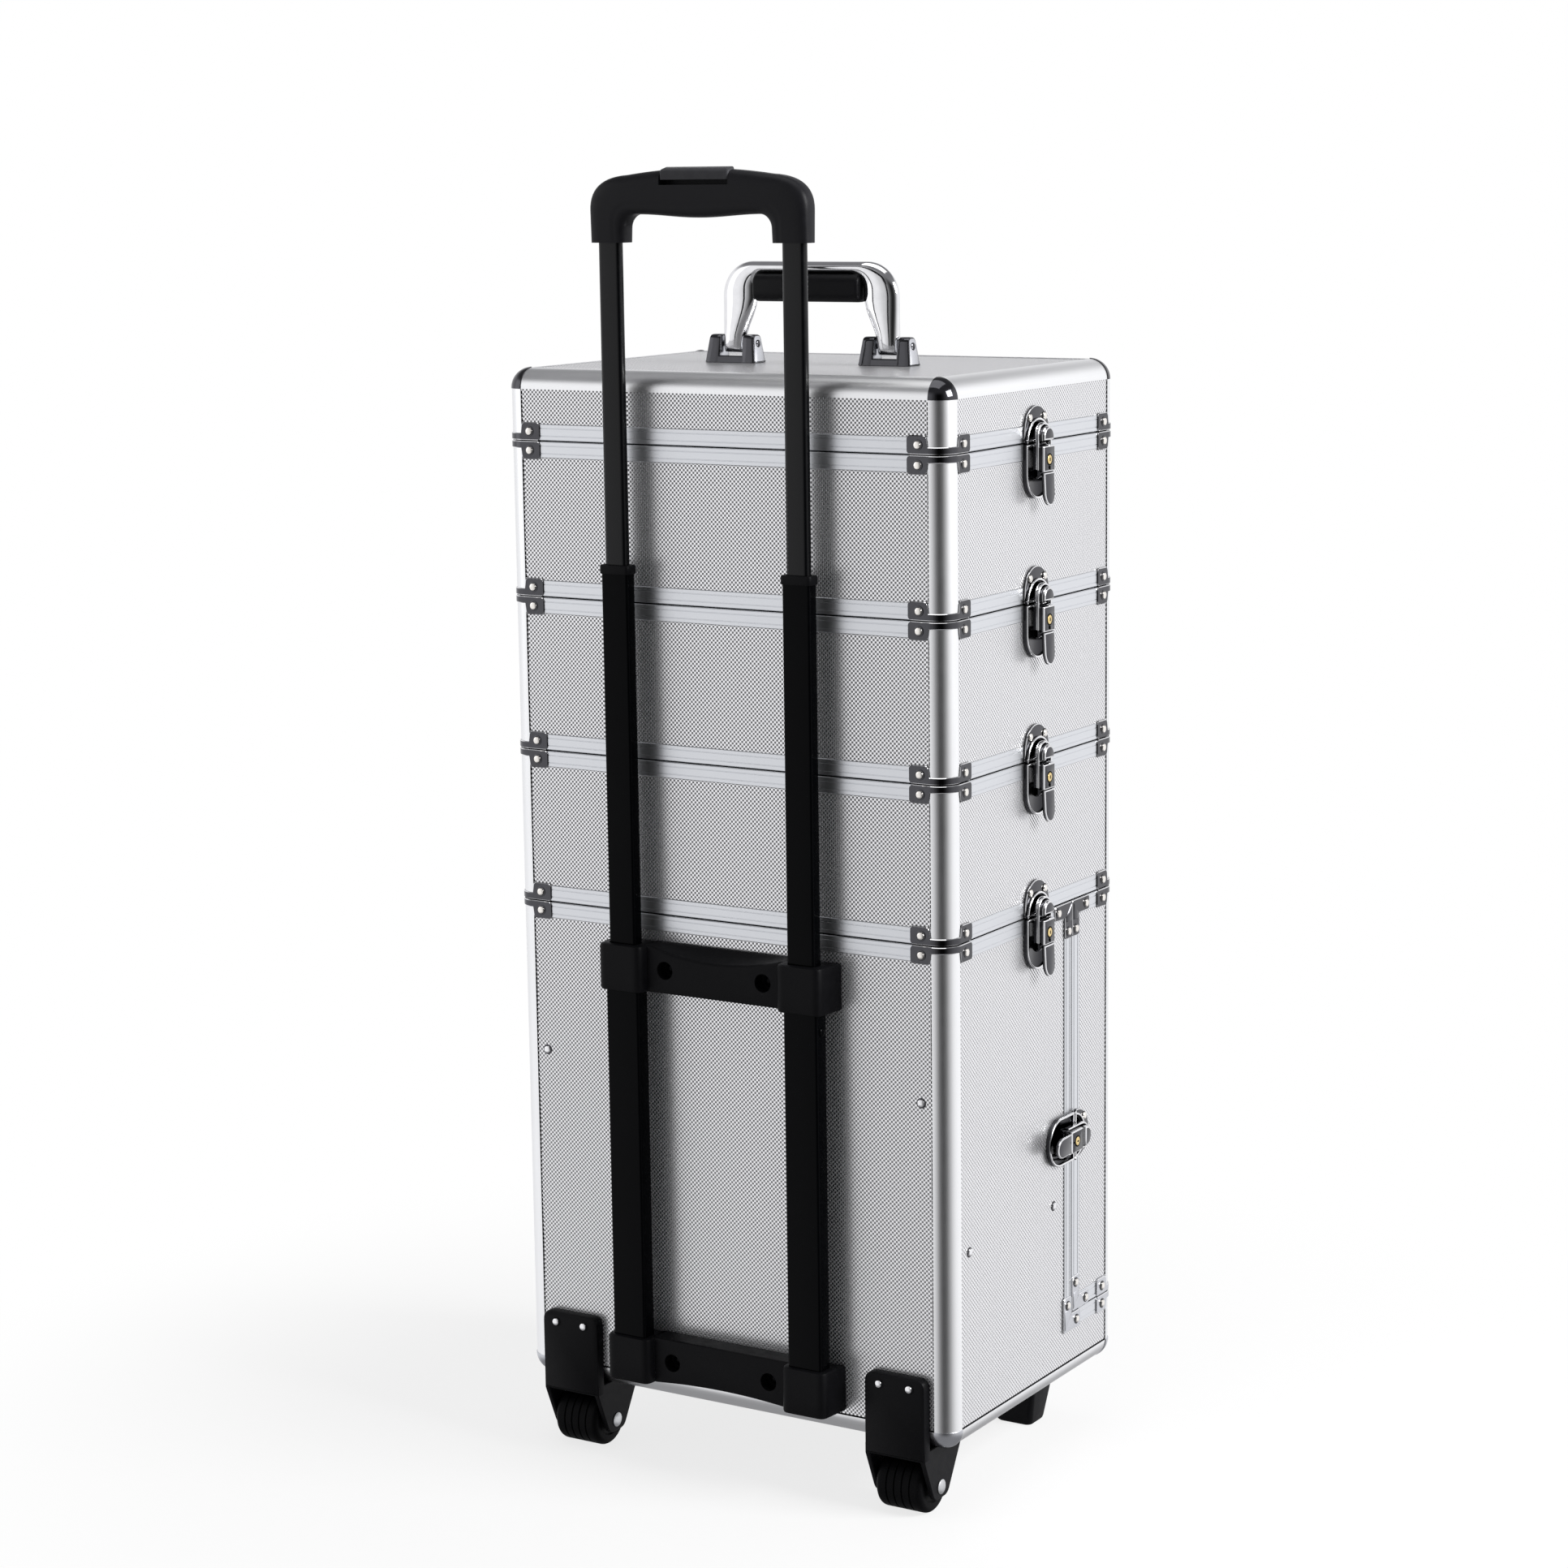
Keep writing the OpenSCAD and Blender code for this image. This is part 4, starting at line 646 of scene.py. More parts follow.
latchShape = {
    "w": 34.0, "strikeL": 24.0, "baseL": 37.0, "plateT": 1.2, "leverW": 15.5, "leverIn": 4.0, "leverOut": 10.5,
    "leverL": 41.0, "lockL": 19.0, "blockTop": 2.0, "pivotOut": 5.2, "pivotDown": 4.0, "link": 16.0, "clawUp": 13.0,
    "armT": 1.5, "rim": 3.0, "panUp": 16.0, "clear": 0.3, "clawIn": 3.2, "clawOut": 7.2, "seam": 1.2, "lockR": 3.0,
    "lockUp": 0.58, "keyL": 2.4, "tailLean": 0.047, "doorZ": 176.0,
}
latch = dots(latchShape)
pinDown = -latch.pivotDown - latch.link  # level of the claw pin


# Pressed pan: a rim raised round a floor at the plate's thickness; the rim takes bright chrome as a painted highlight
# and the floor near-black chrome as painted shade
def addPan(pile, outline):
    rim, floor = latch.rim, latch.plateT
    levels = [(0, -0.2), (0, rim - 0.7), (0.15, rim - 0.25), (0.5, rim), (1.1, rim), (1.5, rim - 0.2), (1.8, rim - 0.8),
              (2.1, floor + 0.3), (2.6, floor)]
    pile.add(plate(outline, levels), np.repeat([0, 3, 4], [1, 4, 3])[:, None], capFinish=4)


# Flat plate with two rivets beyond the pan that the claw closes over
def addStrike(pile, place):
    w, t, r, h = latch.w, latch.plateT, rivetShape["r"], rivetShape["h"]
    flat = [(0, -0.2), (0, t - 0.45), (0.2, t - 0.1), (0.6, t)]
    # The plate's bevels take bright chrome as a painted highlight
    pile.put(*place).add(plate(roundEnd(w, case.splitGap, latch.strikeL), flat), [[0], [3], [3]], capFinish=0)
    addPan(pile, roundEnd(w - 2, case.splitGap + 0.1, latch.panUp))
    dot = turned([[r + 0.5, 0], [r + 0.5, 0.15], [r, 0.1], [r, 0.35], [0.92 * r, 0.62 * h], [0.66 * r, 0.92 * h],
                  [0.34 * r, h], [0.1 * r, 1.02 * h]])
    for side in (-1, 1):
        # A ring of near-black chrome round each rivet dome is painted shade
        pile.add(dot + [side * w * 0.3, latch.strikeL - w * 0.225, t], np.repeat([4, 1], [3, 4])[:, None], capFinish=1)


# Pan with the pivot ear of the lever and a small side tab
def addBasePlate(pile, place):
    addPan(pile.put(*place), roundEnd(latch.w, -case.splitGap, -latch.baseL))
    tab = roundRect(1.0, 6.0, 0.4, 3, (-latch.leverW / 2 - 3.2, -latch.lockL - 3.5))
    pile.add(plate(tab, [(0, 0.8), (0, 7.4), (0.3, 7.8)]))
    earTop = latch.pivotOut + 2.4
    ear = softCorners([[-2.2, 0.4], [2.2, 0.4], [2.6, earTop], [-2.6, earTop]], [0.2, 0.2, 2.4, 2.4])
    pile.add(carried(ear - [latch.pivotDown, 0], [-2.0, 2.0], (1, 2, 0)))


# Turned pin or barrel across the latch, centred at a height on the pivots' line
def barrel(radius, length, up, ease=0.3):
    half = length / 2
    rings = turned([[radius - ease, -half], [radius, ease - half], [radius, half - ease], [radius - ease, half]], 24)
    return rings[:, :, [2, 0, 1]] + [0, up, latch.pivotOut]


# Lever: lock block, leaning tail with a round end, barrels on the pivots and the brass lock with its key slot
def addLever(pile, place):
    wide, lockL, face, r = latch.leverW, latch.lockL, latch.leverOut, latch.lockR
    # Rows in bright chrome on the lever's eased edges are painted highlights
    highlightEdged = [[0], [0], [3], [3]]
    block = roundRect(wide, lockL - latch.blockTop, 0.9, 4, (0, -(lockL + latch.blockTop) / 2))
    levels = [(0.4, latch.leverIn), (0, latch.leverIn + 0.4), (0, face - 1.1), (0.25, face - 0.4), (0.9, face)]
    pile.put(*place).add(plate(block, levels), highlightEdged, capFinish=0)
    tail = plate(roundEnd(wide - 0.3, -lockL - 0.45, -latch.leverL),
                 [(0.5, face - 2.6), (0, face - 2.1), (0, face - 0.9), (0.25, face - 0.3), (0.9, face)])
    below = -lockL - tail[:, :, 1]
    tail[:, :, 0] *= 0.93 - 0.07 * np.cos(2 * pi * (below / (latch.leverL - lockL) + 0.15))  # waist and wide end
    tail[:, :, 2] += latch.tailLean * below
    pile.add(tail, highlightEdged, capFinish=0)
    pile.add(barrel(3.0, wide - 0.6, -latch.pivotDown))
    pile.add(barrel(2.8, wide - 0.6, pinDown)).add(barrel(1.2, wide + 3.4, pinDown))
    lockZ = -latch.lockUp * lockL
    # The ring round the plug and the keyhole plates take the gap look as painted shade of the gap and the holes
    ring = turned([[r + 1.0, face - 0.2], [r + 1.0, face + 0.1], [r + 0.7, face + 0.3], [r + 0.2, face + 0.3],
                   [r + 0.05, face + 0.1], [r + 0.05, face - 0.2]])
    pile.add(ring + [0, lockZ, 0], 2, loop=True)
    plug = turned([[r, face - 0.3], [r, face + 0.22], [r - 0.3, face + 0.4], [0.4, face + 0.44]])
    pile.add(plug + [0, lockZ, 0], 1)
    for middle in (lockZ, lockZ - r - latch.keyL):  # keyhole and slot below it
        pile.add(plate(roundRect(1.1, latch.keyL, 0.5, 3, (0, middle)), [(0, face - 0.2), (0, face + 0.5)]), 2)


# Claw: domed nose and a wire frame that runs down both sides of the lever to the claw pivot
def addClaw(pile, place):
    arm, face = latch.armT, latch.leverOut
    reach = latch.leverW / 2 + latch.clear + arm / 2
    centre = latch.clawUp - reach - arm / 2
    down = np.linspace(pinDown - 2.0, centre, 6)[:-1]
    sweep = onCircle(np.linspace(0, pi, 29))
    side = np.repeat([[1.0, 0.0]], 5, 0)
    normal = np.concatenate([side, sweep, -side])
    path = reach * normal
    path[:, 1] += np.concatenate([down, np.full(29, centre), down[::-1]])
    across = roundRect(arm, latch.clawOut - latch.clawIn, 0.7, 4, (0, (latch.clawIn + latch.clawOut) / 2))
    flat = path[:, None] + normal[:, None] * across[None, :, :1]
    rings = np.concatenate([flat, np.broadcast_to(across[None, :, 1:], flat.shape[:2] + (1,))], -1)
    pile.put(*place).add(rings, 1)
    for eyeX in (-reach, reach):  # eyes of the wire on the claw pin
        pile.add(barrel(3.2, arm, pinDown) + [eyeX, 0, 0])
    nose = roundEnd(latch.leverW - 1.2, latch.seam, latch.clawUp - arm - latch.clear - 0.6)
    # The nose's rounded shoulder takes bright chrome as a painted highlight; its sides and flat top stay dark chrome
    pile.add(plate(nose, [(0.3, latch.clawIn), (0, latch.clawIn + 0.3), (0, face - 1.9), (0.3, face - 0.9),
                          (0.8, face - 0.3), (1.5, face)]), [[0], [0], [1], [1], [1]], capFinish=0)


def latchFrame(side, z):  # side 1 is the right wall, side -1 the left wall
    wall = 3 if side > 0 else 1
    return wallTurn[wall], wallBase[wall] + [0, 0, z]


doorFrame = (np.array([[0, 0, -1], [0, -1, 0], [1, 0, 0]]), np.array([-halfW, doorY, latch.doorZ]))


# The sections of the case, each with its own sheets, rails, strips, clamps and latch plates
def finishSection(name, body, sheets, metal, fittings):
    makePiece(name + "Sheets", sheets, "sheet gap lining", body, name + "_panels")
    makePiece(name + "Rails", metal, "rail strip gap", body, name + "_frame")
    makePiece(name + "Fittings", fittings, "clamp rivet satin chrome pan", body, name + "_hardware")


# A tray up to the split of the section above it, or the lid, which has none above
def buildSection(name, above=None):
    z0 = splitZ[name] + halfGap
    z1 = splitZ[above] - halfGap if above else caseTop - railR
    sheets, metal, fittings = Pile(), Pile(), Pile()
    for k in range(4):
        addSheet(sheets, k, z0 + stripH, z1 - stripH if above else z1)
        addStrip(metal, k, z0, -1)
        addClamp(fittings, k, z0, 1)
        if above:
            addStrip(metal, k, z1 - stripH, 1)
            addClamp(fittings, k, z1, -1)
    addRails(metal, z0, z1, range(4))
    for side in (-1, 1):
        addStrike(fittings, latchFrame(side, splitZ[name]))
        if above:
            addBasePlate(fittings, latchFrame(side, splitZ[above]))
    if above:
        addFloor(sheets, z0 + case.floorUp)
    else:
        addSheet(sheets, 4, -panelY, panelY, 1)
        addEdgeRails(metal, caseTop, 1)
    finishSection(name, name + "_tray" if above else name, sheets, metal, fittings)


baseFittings = {"plateW": 10.0, "plateArm": 25.0, "runnerZ": 132.0, "strapZ": 236.0, "strapRivetIn": 8.4}


# Base: high back and sides, a low sill in front, and the posts that the door closes on
def buildBase():
    b, lug = dots(baseFittings), clampShape["lugH"]
    top, sill = splitZ["lower"] - halfGap, case.sillH - halfGap
    split = doorY + halfGap
    post = split + case.baseUpright
    sheets, metal, fittings = Pile(), Pile(), Pile()
    addSheet(sheets, 0, railR, top - stripH, -1)
    addSheet(sheets, 2, railR, sill - stripH)
    addSheet(sheets, 5, -panelY, panelY)
    addRails(metal, railR, top, (0, 1))
    addRails(metal, railR, sill, (2, 3))
    addEdgeRails(metal, 0, -1)
    addStrip(metal, 0, top - stripH, 1)
    addStrip(metal, 2, sill - stripH)
    for wall in (1, 3):
        addSheet(sheets, wall, sill - stripH, top - stripH, span=(post, panelY))
        addSheet(sheets, wall, railR, sill - stripH, -1)
        addStrip(metal, wall, top - stripH, 1, (split, panelY))
        addStrip(metal, wall, sill - stripH, span=(-panelY, post))
        addUpright(metal, wall, split, post, sill, top - stripH)
        for y in (split + b.plateArm, panelY - lug):
            addRivet(fittings, wall, y, b.runnerZ, -case.recess, dome=3)
    for k in range(4):
        addClamp(fittings, k, *((top, -1, 0) if k < 2 else (sill, -1, 2)))
    addCornerPlates(fittings, split, top, 1, -1, b.plateW, b.plateArm)
    addCornerPlates(fittings, split + lug, sill - lug, -1, 1, lug, b.plateArm, 2)
    for side in (-1, 1):
        addBasePlate(fittings, latchFrame(side, splitZ["lower"]))
        addRivet(fittings, 0, side * (panelX - b.strapRivetIn), b.strapZ, -case.recess, dome=3)
    addBasePlate(fittings, doorFrame)
    finishSection("base", "base", sheets, metal, fittings)


# Door: the front wall and a short part of both sides, between the sill and the first split
def buildDoor():
    b = dots(baseFittings)
    z0, z1 = case.sillH + halfGap, splitZ["lower"] - halfGap
    split = doorY - halfGap
    post = split - case.doorUpright
    sheets, metal, fittings = Pile(), Pile(), Pile()
    addSheet(sheets, 2, z0 + stripH, z1 - stripH)
    addRails(metal, z0, z1, (2, 3))
    for low in (z0, z1 - stripH):
        addStrip(metal, 2, low)
        for wall in (1, 3):
            addStrip(metal, wall, low, span=(-panelY, split))
    for wall in (1, 3):
        addSheet(sheets, wall, z0 + stripH, z1 - stripH, span=(-panelY, post))
        addUpright(metal, wall, post, split, z0 + stripH, z1 - stripH)
    for k in (2, 3):
        addClamp(fittings, k, z0, 1, 2)
        addClamp(fittings, k, z1, -1)
    addCornerPlates(fittings, split, z1, -1, -1, b.plateW, b.plateArm)
    addCornerPlates(fittings, split, z0, -1, 1, b.plateW, b.plateArm, 2)
    addStrike(fittings, doorFrame)
    finishSection("door", "door", sheets, metal, fittings)


ballShape = {"proud": 0.5, "upTo": 88.0}


# Ball corners: an eighth of a sphere, each ring an arc closed at the axis
def buildBalls(name, body, node, z, side, look):
    ball = railR + ballShape["proud"]
    up = np.linspace(0, radians(ballShape["upTo"]), 19)
    rings = np.zeros((19, 22, 3))
    rings[:, 1:, :2] = ball * np.cos(up)[:, None, None] * onCircle(np.linspace(0, pi / 2, 21))
    rings[:, :, 2] = side * ball * np.sin(up)[:, None]
    pile = Pile()
    for k in range(4):
        onCorner(pile, k).add(rings + [0, 0, z - side * railR])
    makePiece(name, pile, look, body, node)


buildBase()
buildDoor()
for trayName, aboveName in (("lower", "middle"), ("middle", "top"), ("top", "lid")):
    buildSection(trayName, aboveName)
buildSection("lid")
buildBalls("baseBalls", "base", "base_corners", 0, -1, "satin")
# The lid balls take the dark chrome, whose darkness is a painted reflection
buildBalls("lidBalls", "lid", "lid_corners", caseTop, 1, "clamp")
print("case sections done")


def buildLatch(name, place):  # a lever and its claw; # stands for either in the name
    lever, claw = Pile(), Pile()
    addLever(lever, place)
    addClaw(claw, place)
    leverNode, clawNode = name.replace("#", "lever"), name.replace("#", "claw")
    makePiece(leverNode + "Plate", lever, "clamp brass gap chrome", leverNode, leverNode)
    makePiece(clawNode + "Wire", claw, "clamp chrome", clawNode, clawNode)


for sectionName in ("lower", "middle", "top", "lid"):
    for sideName, side in (("left", -1), ("right", 1)):
        buildLatch(sectionName + "_#_" + sideName, latchFrame(side, splitZ[sectionName]))
buildLatch("door_#", doorFrame)
print("latches done")


carryShape = {
    "clevisX": 60.5, "clevisW": 35.0, "clevisD": 15.0, "clevisH": 18.5, "pinUp": 12.3, "pinR": 2.0, "armW": 16.0,
    "armSide": 1.0, "bowD": 12.0, "up": 68.0, "bowT": 8.0, "outerR": 24.0, "innerR": 10.0, "power": 2.1, "eyeTo": 78.0,
    "sleeveL": 83.0, "sleeveH": 19.0, "sleeveD": 18.0, "sleeveR": 6.5, "trough": 4.2, "flare": 2.4,
}


def legPoints(x, z0, z1):  # six points up a straight leg, short of its end
    return np.linspace([x, z0], [x, z1], 7)[:-1]


# Boundary of a bow: straight leg, quarter circle and half of the bar, which may sag, mirrored to the other side
def bowCurve(x, z0, top, r, steps=7, sag=0.0):
    barX = np.linspace(x - r, 0, steps)[1:]
    barZ = top - sag * (0.5 + 0.5 * np.cos(pi * barX / (x - r)))
    bend = [x - r, top - r] + r * onCircle(quarterTurn)
    return mirrored(np.concatenate([legPoints(x, z0, top - r), bend, np.column_stack([barX, barZ])]))


# Bow: its inner boundary swells to meet the sleeve, and its ends are half round about the pins
def buildBow(c, pin, top):
    outer = bowCurve(c.clevisX + c.armW / 2, pin, top, c.outerR)
    inner = bowCurve(c.clevisX - c.armW / 2, pin, top - c.bowT, c.innerR)
    climb = np.clip((inner[:, 1] - pin) / (top - c.bowT - c.sleeveH + 4 - pin), 0, 1)
    swell = (c.clevisX - c.armW / 2 - c.sleeveL / 2 - 0.4) * climb ** 2 * (3 - 2 * climb)
    inner[:, 0] -= np.sign(inner[:, 0]) * np.minimum(swell, np.abs(inner[:, 0]))
    drop = np.linspace(radians(c.eyeTo), 0, 7)[:-1]
    eye = c.bowD / 2
    low = np.column_stack([np.zeros(6), -eye * np.sin(drop)])
    outer, inner = (np.concatenate([edge[0] + low, edge, edge[-1] + low[::-1]]) for edge in (outer, inner))
    ends = eye * np.cos(drop)
    depth = np.concatenate([ends, np.full(len(outer) - 12, eye), ends[::-1]])
    bow = Pile().add(spanned(outer, inner, depth, c.power, 48))
    makePiece("carryBow", bow, "chrome", "carry_handle", "carry_bow")


# Clevises: two ears that flare outwards and down, a trough between them, and the pin with its heads
def buildClevises(c):
    pile = Pile()
    z0, earTop, troughTop = caseTop - case.recess, caseTop + c.clevisH, caseTop + c.trough
    lip, gap, wide = c.clevisD / 2, c.armW / 2 + c.armSide, c.clevisW / 2
    ear = softCorners([[-lip, z0], [lip, z0], [0.62 * lip, earTop], [-0.62 * lip, earTop]], [0.4, 0.4, 4.2, 4.2], 8)
    base = softCorners([[-lip, z0], [lip, z0], [0.9 * lip, troughTop], [-0.9 * lip, troughTop]], [0.4, 0.4, 1.2, 1.2])
    pinPlace = [0, caseTop + c.pinUp, 0]
    headX = wide + c.flare * (1 - c.pinUp / c.clevisH)
    for s in (-1, 1):
        pile.put(alongX, (s * c.clevisX, 0, 0))
        for e in (-1, 1):
            x0, x1 = sorted((e * gap, e * wide))
            rings = plate(ear, [(1.1, x0), (0.3, x0 + 0.3), (0, x0 + 1.1), (0, x1 - 1.1), (0.3, x1 - 0.3), (1.1, x1)])
            lean = c.flare * (1 - (rings[:, :, 1] - caseTop) / c.clevisH)
            outside = slice(3, 6) if e > 0 else slice(0, 3)
            rings[outside, :, 2] += e * lean[outside]
            # The ears' flat sides take satin, paler than their dark chrome edges, as a painted highlight
            pile.add(rings, capFinish=1)
            head = turned([[2.6, -0.3], [2.6, 0.3], [2.0, 0.8], [0.4, 1.0]]) * [1, 1, e]
            pile.add(head + pinPlace + [0, 0, e * headX])
        pile.add(plate(base, [(0, -gap - 1), (0, gap + 1)]))
        pile.add(turned([[c.pinR, 1 - wide], [c.pinR, wide - 1]], 24) + pinPlace)
    makePiece("handleClevises", pile, "clamp satin", "lid", "handle_clevises")


# Carry handle: bow, sleeve with eased ends under its bar, and clevises on the lid
def buildCarryHandle():
    c = dots(carryShape)
    top = caseTop + c.up
    buildBow(c, caseTop + c.pinUp, top)
    half = c.sleeveL / 2
    section = roundRect(c.sleeveD, c.sleeveH, c.sleeveR, 8, (0, top - c.bowT - c.sleeveH / 2))
    ease = np.array([(2.2, -half), (1.0, 0.5 - half), (0.3, 1.4 - half), (0, 2.6 - half)])
    sleeve = Pile().put(alongX, (0, 0, 0)).add(plate(section, np.concatenate([ease, ease[::-1] * [1, -1]])))
    makePiece("carrySleeve", sleeve, "sleeve", "carry_handle", "carry_grip")
    buildClevises(c)


buildCarryHandle()
print("carry handle done")


trolleyShape = {
    "tubeX": 70.0, "tubeOut": 15.4, "outer": (26.0, 12.4), "middle": (21.0, 9.6), "inner": (17.0, 7.0), "wall": 0.9,
    "round": 2.0, "innerRound": 3.1, "bracketH": 32.0, "bracketD": 25.0, "barD": 16.5, "lowerZ": 17.0, "upperZ": 291.0,
    "scoop": 8.0, "scoopFrom": 3.0, "arch": 2.6, "middleTop": 578.0, "collarH": 6.0, "collarLip": 1.0, "screwX": 38.5,
    "recessR": 6.2, "recessD": 9.0, "flare": 2.8, "blockRound": 6.0, "blockSide": 3.5, "endT": 2.0, "press": 0.1,
    "slack": 0.3, "pinHeadR": 3.0, "pinHeadDown": 12.0,
}
trolley = dots(trolleyShape)
tubeY = halfD + trolley.tubeOut
blockHalf = trolley.outer[0] / 2 + trolley.blockSide


# Hollow tube with round corners: outer wall up, inner wall down, joined at both ends
def tubeRings(w, d, r, z0, z1):
    t = trolley.wall
    outside, inside = roundRect(w, d, r, 7), roundRect(w - 2 * t, d - 2 * t, r - t, 7)
    return np.stack([lifted(outside, z0), lifted(outside, z1), lifted(inside, z1), lifted(inside, z0)])


def buildTubes(name, node, body, size, bend, look, pinHeads=False):  # a pair of tubes between their node's levels
    low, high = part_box(node)
    pile = Pile()
    for s in (-1, 1):
        pile.at(s * trolley.tubeX, tubeY).add(tubeRings(*size, bend, levelOf(low.z), levelOf(high.z)), loop=True)
        if pinHeads:  # sprung locking pin on the outer side
            r = trolley.pinHeadR
            head = turned([[r, -0.2], [r, 0.5], [2.2, 1.2], [0.3, 1.5]]) * [1, 1, s]
            pile.add(head[:, :, [2, 0, 1]] + [s * size[0] / 2, 0, trolley.upperZ - trolley.pinHeadDown])
    makePiece(name, pile, look + " zinc", body, node)


# Collars: an eased sleeve on each middle tube round the inner tube's hole
def buildCollars():
    t = trolley
    w, d = (side + 2 * t.collarLip for side in t.middle)
    z0, z1 = t.middleTop - t.collarH, t.middleTop
    outside = plate(roundRect(w, d, t.round + 0.6, 5),
                    [(0.3, z0), (0, z0 + 0.4), (0, z1 - 1.0), (0.3, z1 - 0.3), (0.9, z1)])
    hole = roundRect(*(side + 2 * t.slack for side in t.inner), t.round, 5)
    pile = paired(t.tubeX, tubeY, np.concatenate([outside, plate(hole, [(0, z1), (0, z0)])]), loop=True)
    makePiece("tubeCollars", pile, "mould", "middle_stage", "middle_collars")


# Tube block: a flared plan with eased edges round a hole, both read at equal angles about the tube
def blockRings(z0, z1, holes):
    t, root = trolley, blockHalf + trolley.flare
    plan = softCorners([[-root, 0], [root, 0], [blockHalf, t.bracketD], [-blockHalf, t.bracketD]],
                       [0.3, 0.3, t.blockRound, t.blockRound], 10)
    centre = np.array([0, t.tubeOut])
    outside = plate(sampleRound(plan, centre), [(1.6, z0), (0.5, z0 + 0.5), (0, z0 + 1.6), (0, z1 - 2.0),
                                                (0.6, z1 - 0.6), (2.0, z1)])
    outside[:, :, 1] = np.maximum(outside[:, :, 1], 0)
    inside = [lifted(sampleRound(roundRect(w, d, t.round, 5) + centre, centre), z) for w, d, z in holes]
    return np.concatenate([outside, np.stack(inside)])


# Bar between the blocks: rings run from the case outwards while its upper (way 1) or lower edge is hollowed more
def barRings(z0, z1, hollow, way, flatBack):
    t = trolley
    reach = t.tubeX - blockHalf + 1
    x = np.linspace(-reach, reach, 41)
    dip = np.clip(1 - (x / (reach - t.blockRound / 2)) ** 2, 0, 1)
    out = np.concatenate([np.arange(0, 16, 2), t.barD - np.array([1.5, 0.5, 0])])
    cut = np.clip((out - flatBack) / (t.barD - flatBack), 0, 1) ** 0.6 if flatBack else np.ones(len(out))
    ease = np.array([0] * 9 + [0.45, 1.5])[:, None]
    scooped = hollow * cut[:, None] * dip
    ring = np.zeros((len(out), 82, 3))
    ring[:, :, 0] = np.concatenate([x, x[::-1]])
    ring[:, :, 1] = halfD + out[:, None]
    ring[:, :41, 2] = z0 + ease + scooped * (way < 0)
    ring[:, 41:, 2] = (z1 - ease - scooped * (way > 0))[:, ::-1]
    return ring


# Brackets: two blocks each, and bars with round recesses over the screws
def buildBrackets():
    t = trolley
    big, mid = [side + t.press for side in t.outer], [side + 2 * t.slack for side in t.middle]
    upTop, lowTop = t.upperZ + t.bracketH, t.lowerZ + t.bracketH
    shelf = upTop - t.endT
    upHoles = [(*mid, upTop), (*mid, shelf), (*big, shelf), (*big, t.upperZ)]
    blocks, bars, holes = Pile(), Pile(), Pile()
    for s in (-1, 1):
        blocks.at(s * t.tubeX, halfD)
        blocks.add(blockRings(t.upperZ, upTop, upHoles), loop=True)
        blocks.add(blockRings(t.lowerZ, lowTop, [(*big, lowTop), (*big, t.lowerZ)]), loop=True)
    makePiece("trolleyBlocks", blocks, "mould", "base", "trolley_brackets")
    bars.add(barRings(t.upperZ, upTop, t.scoop, 1, t.scoopFrom))
    bars.add(barRings(t.lowerZ, lowTop, t.arch, -1, 0))
    hole = turned([[t.recessR, t.barD - t.recessD], [t.recessR, t.barD + 2]], 48)
    for z in (t.upperZ, t.lowerZ):
        for s in (-1, 1):
            onWall(holes, 0).add(hole + [s * t.screwX, z + t.bracketH / 2, 0])
    carve(makePiece("trolleyBars", bars, "mould", "base"), holes)


gripShape = {
    "z": 788.0, "h": 47.0, "w": 165.6, "d": 19.0, "legD": 15.0, "legW": 29.0, "under": 18.0, "crown": 9.0,
    "shoulder": 54.0, "knee": 21.0, "innerR": 9.0, "sag": 2.2, "power": 3.4, "seamAt": 1.86, "seamIn": 0.965,
    "buttonL": 52.0, "buttonD": 9.0, "buttonH": 8.0, "buttonUp": 1.0, "buttonTravel": 3.0, "slack": 0.3,
}


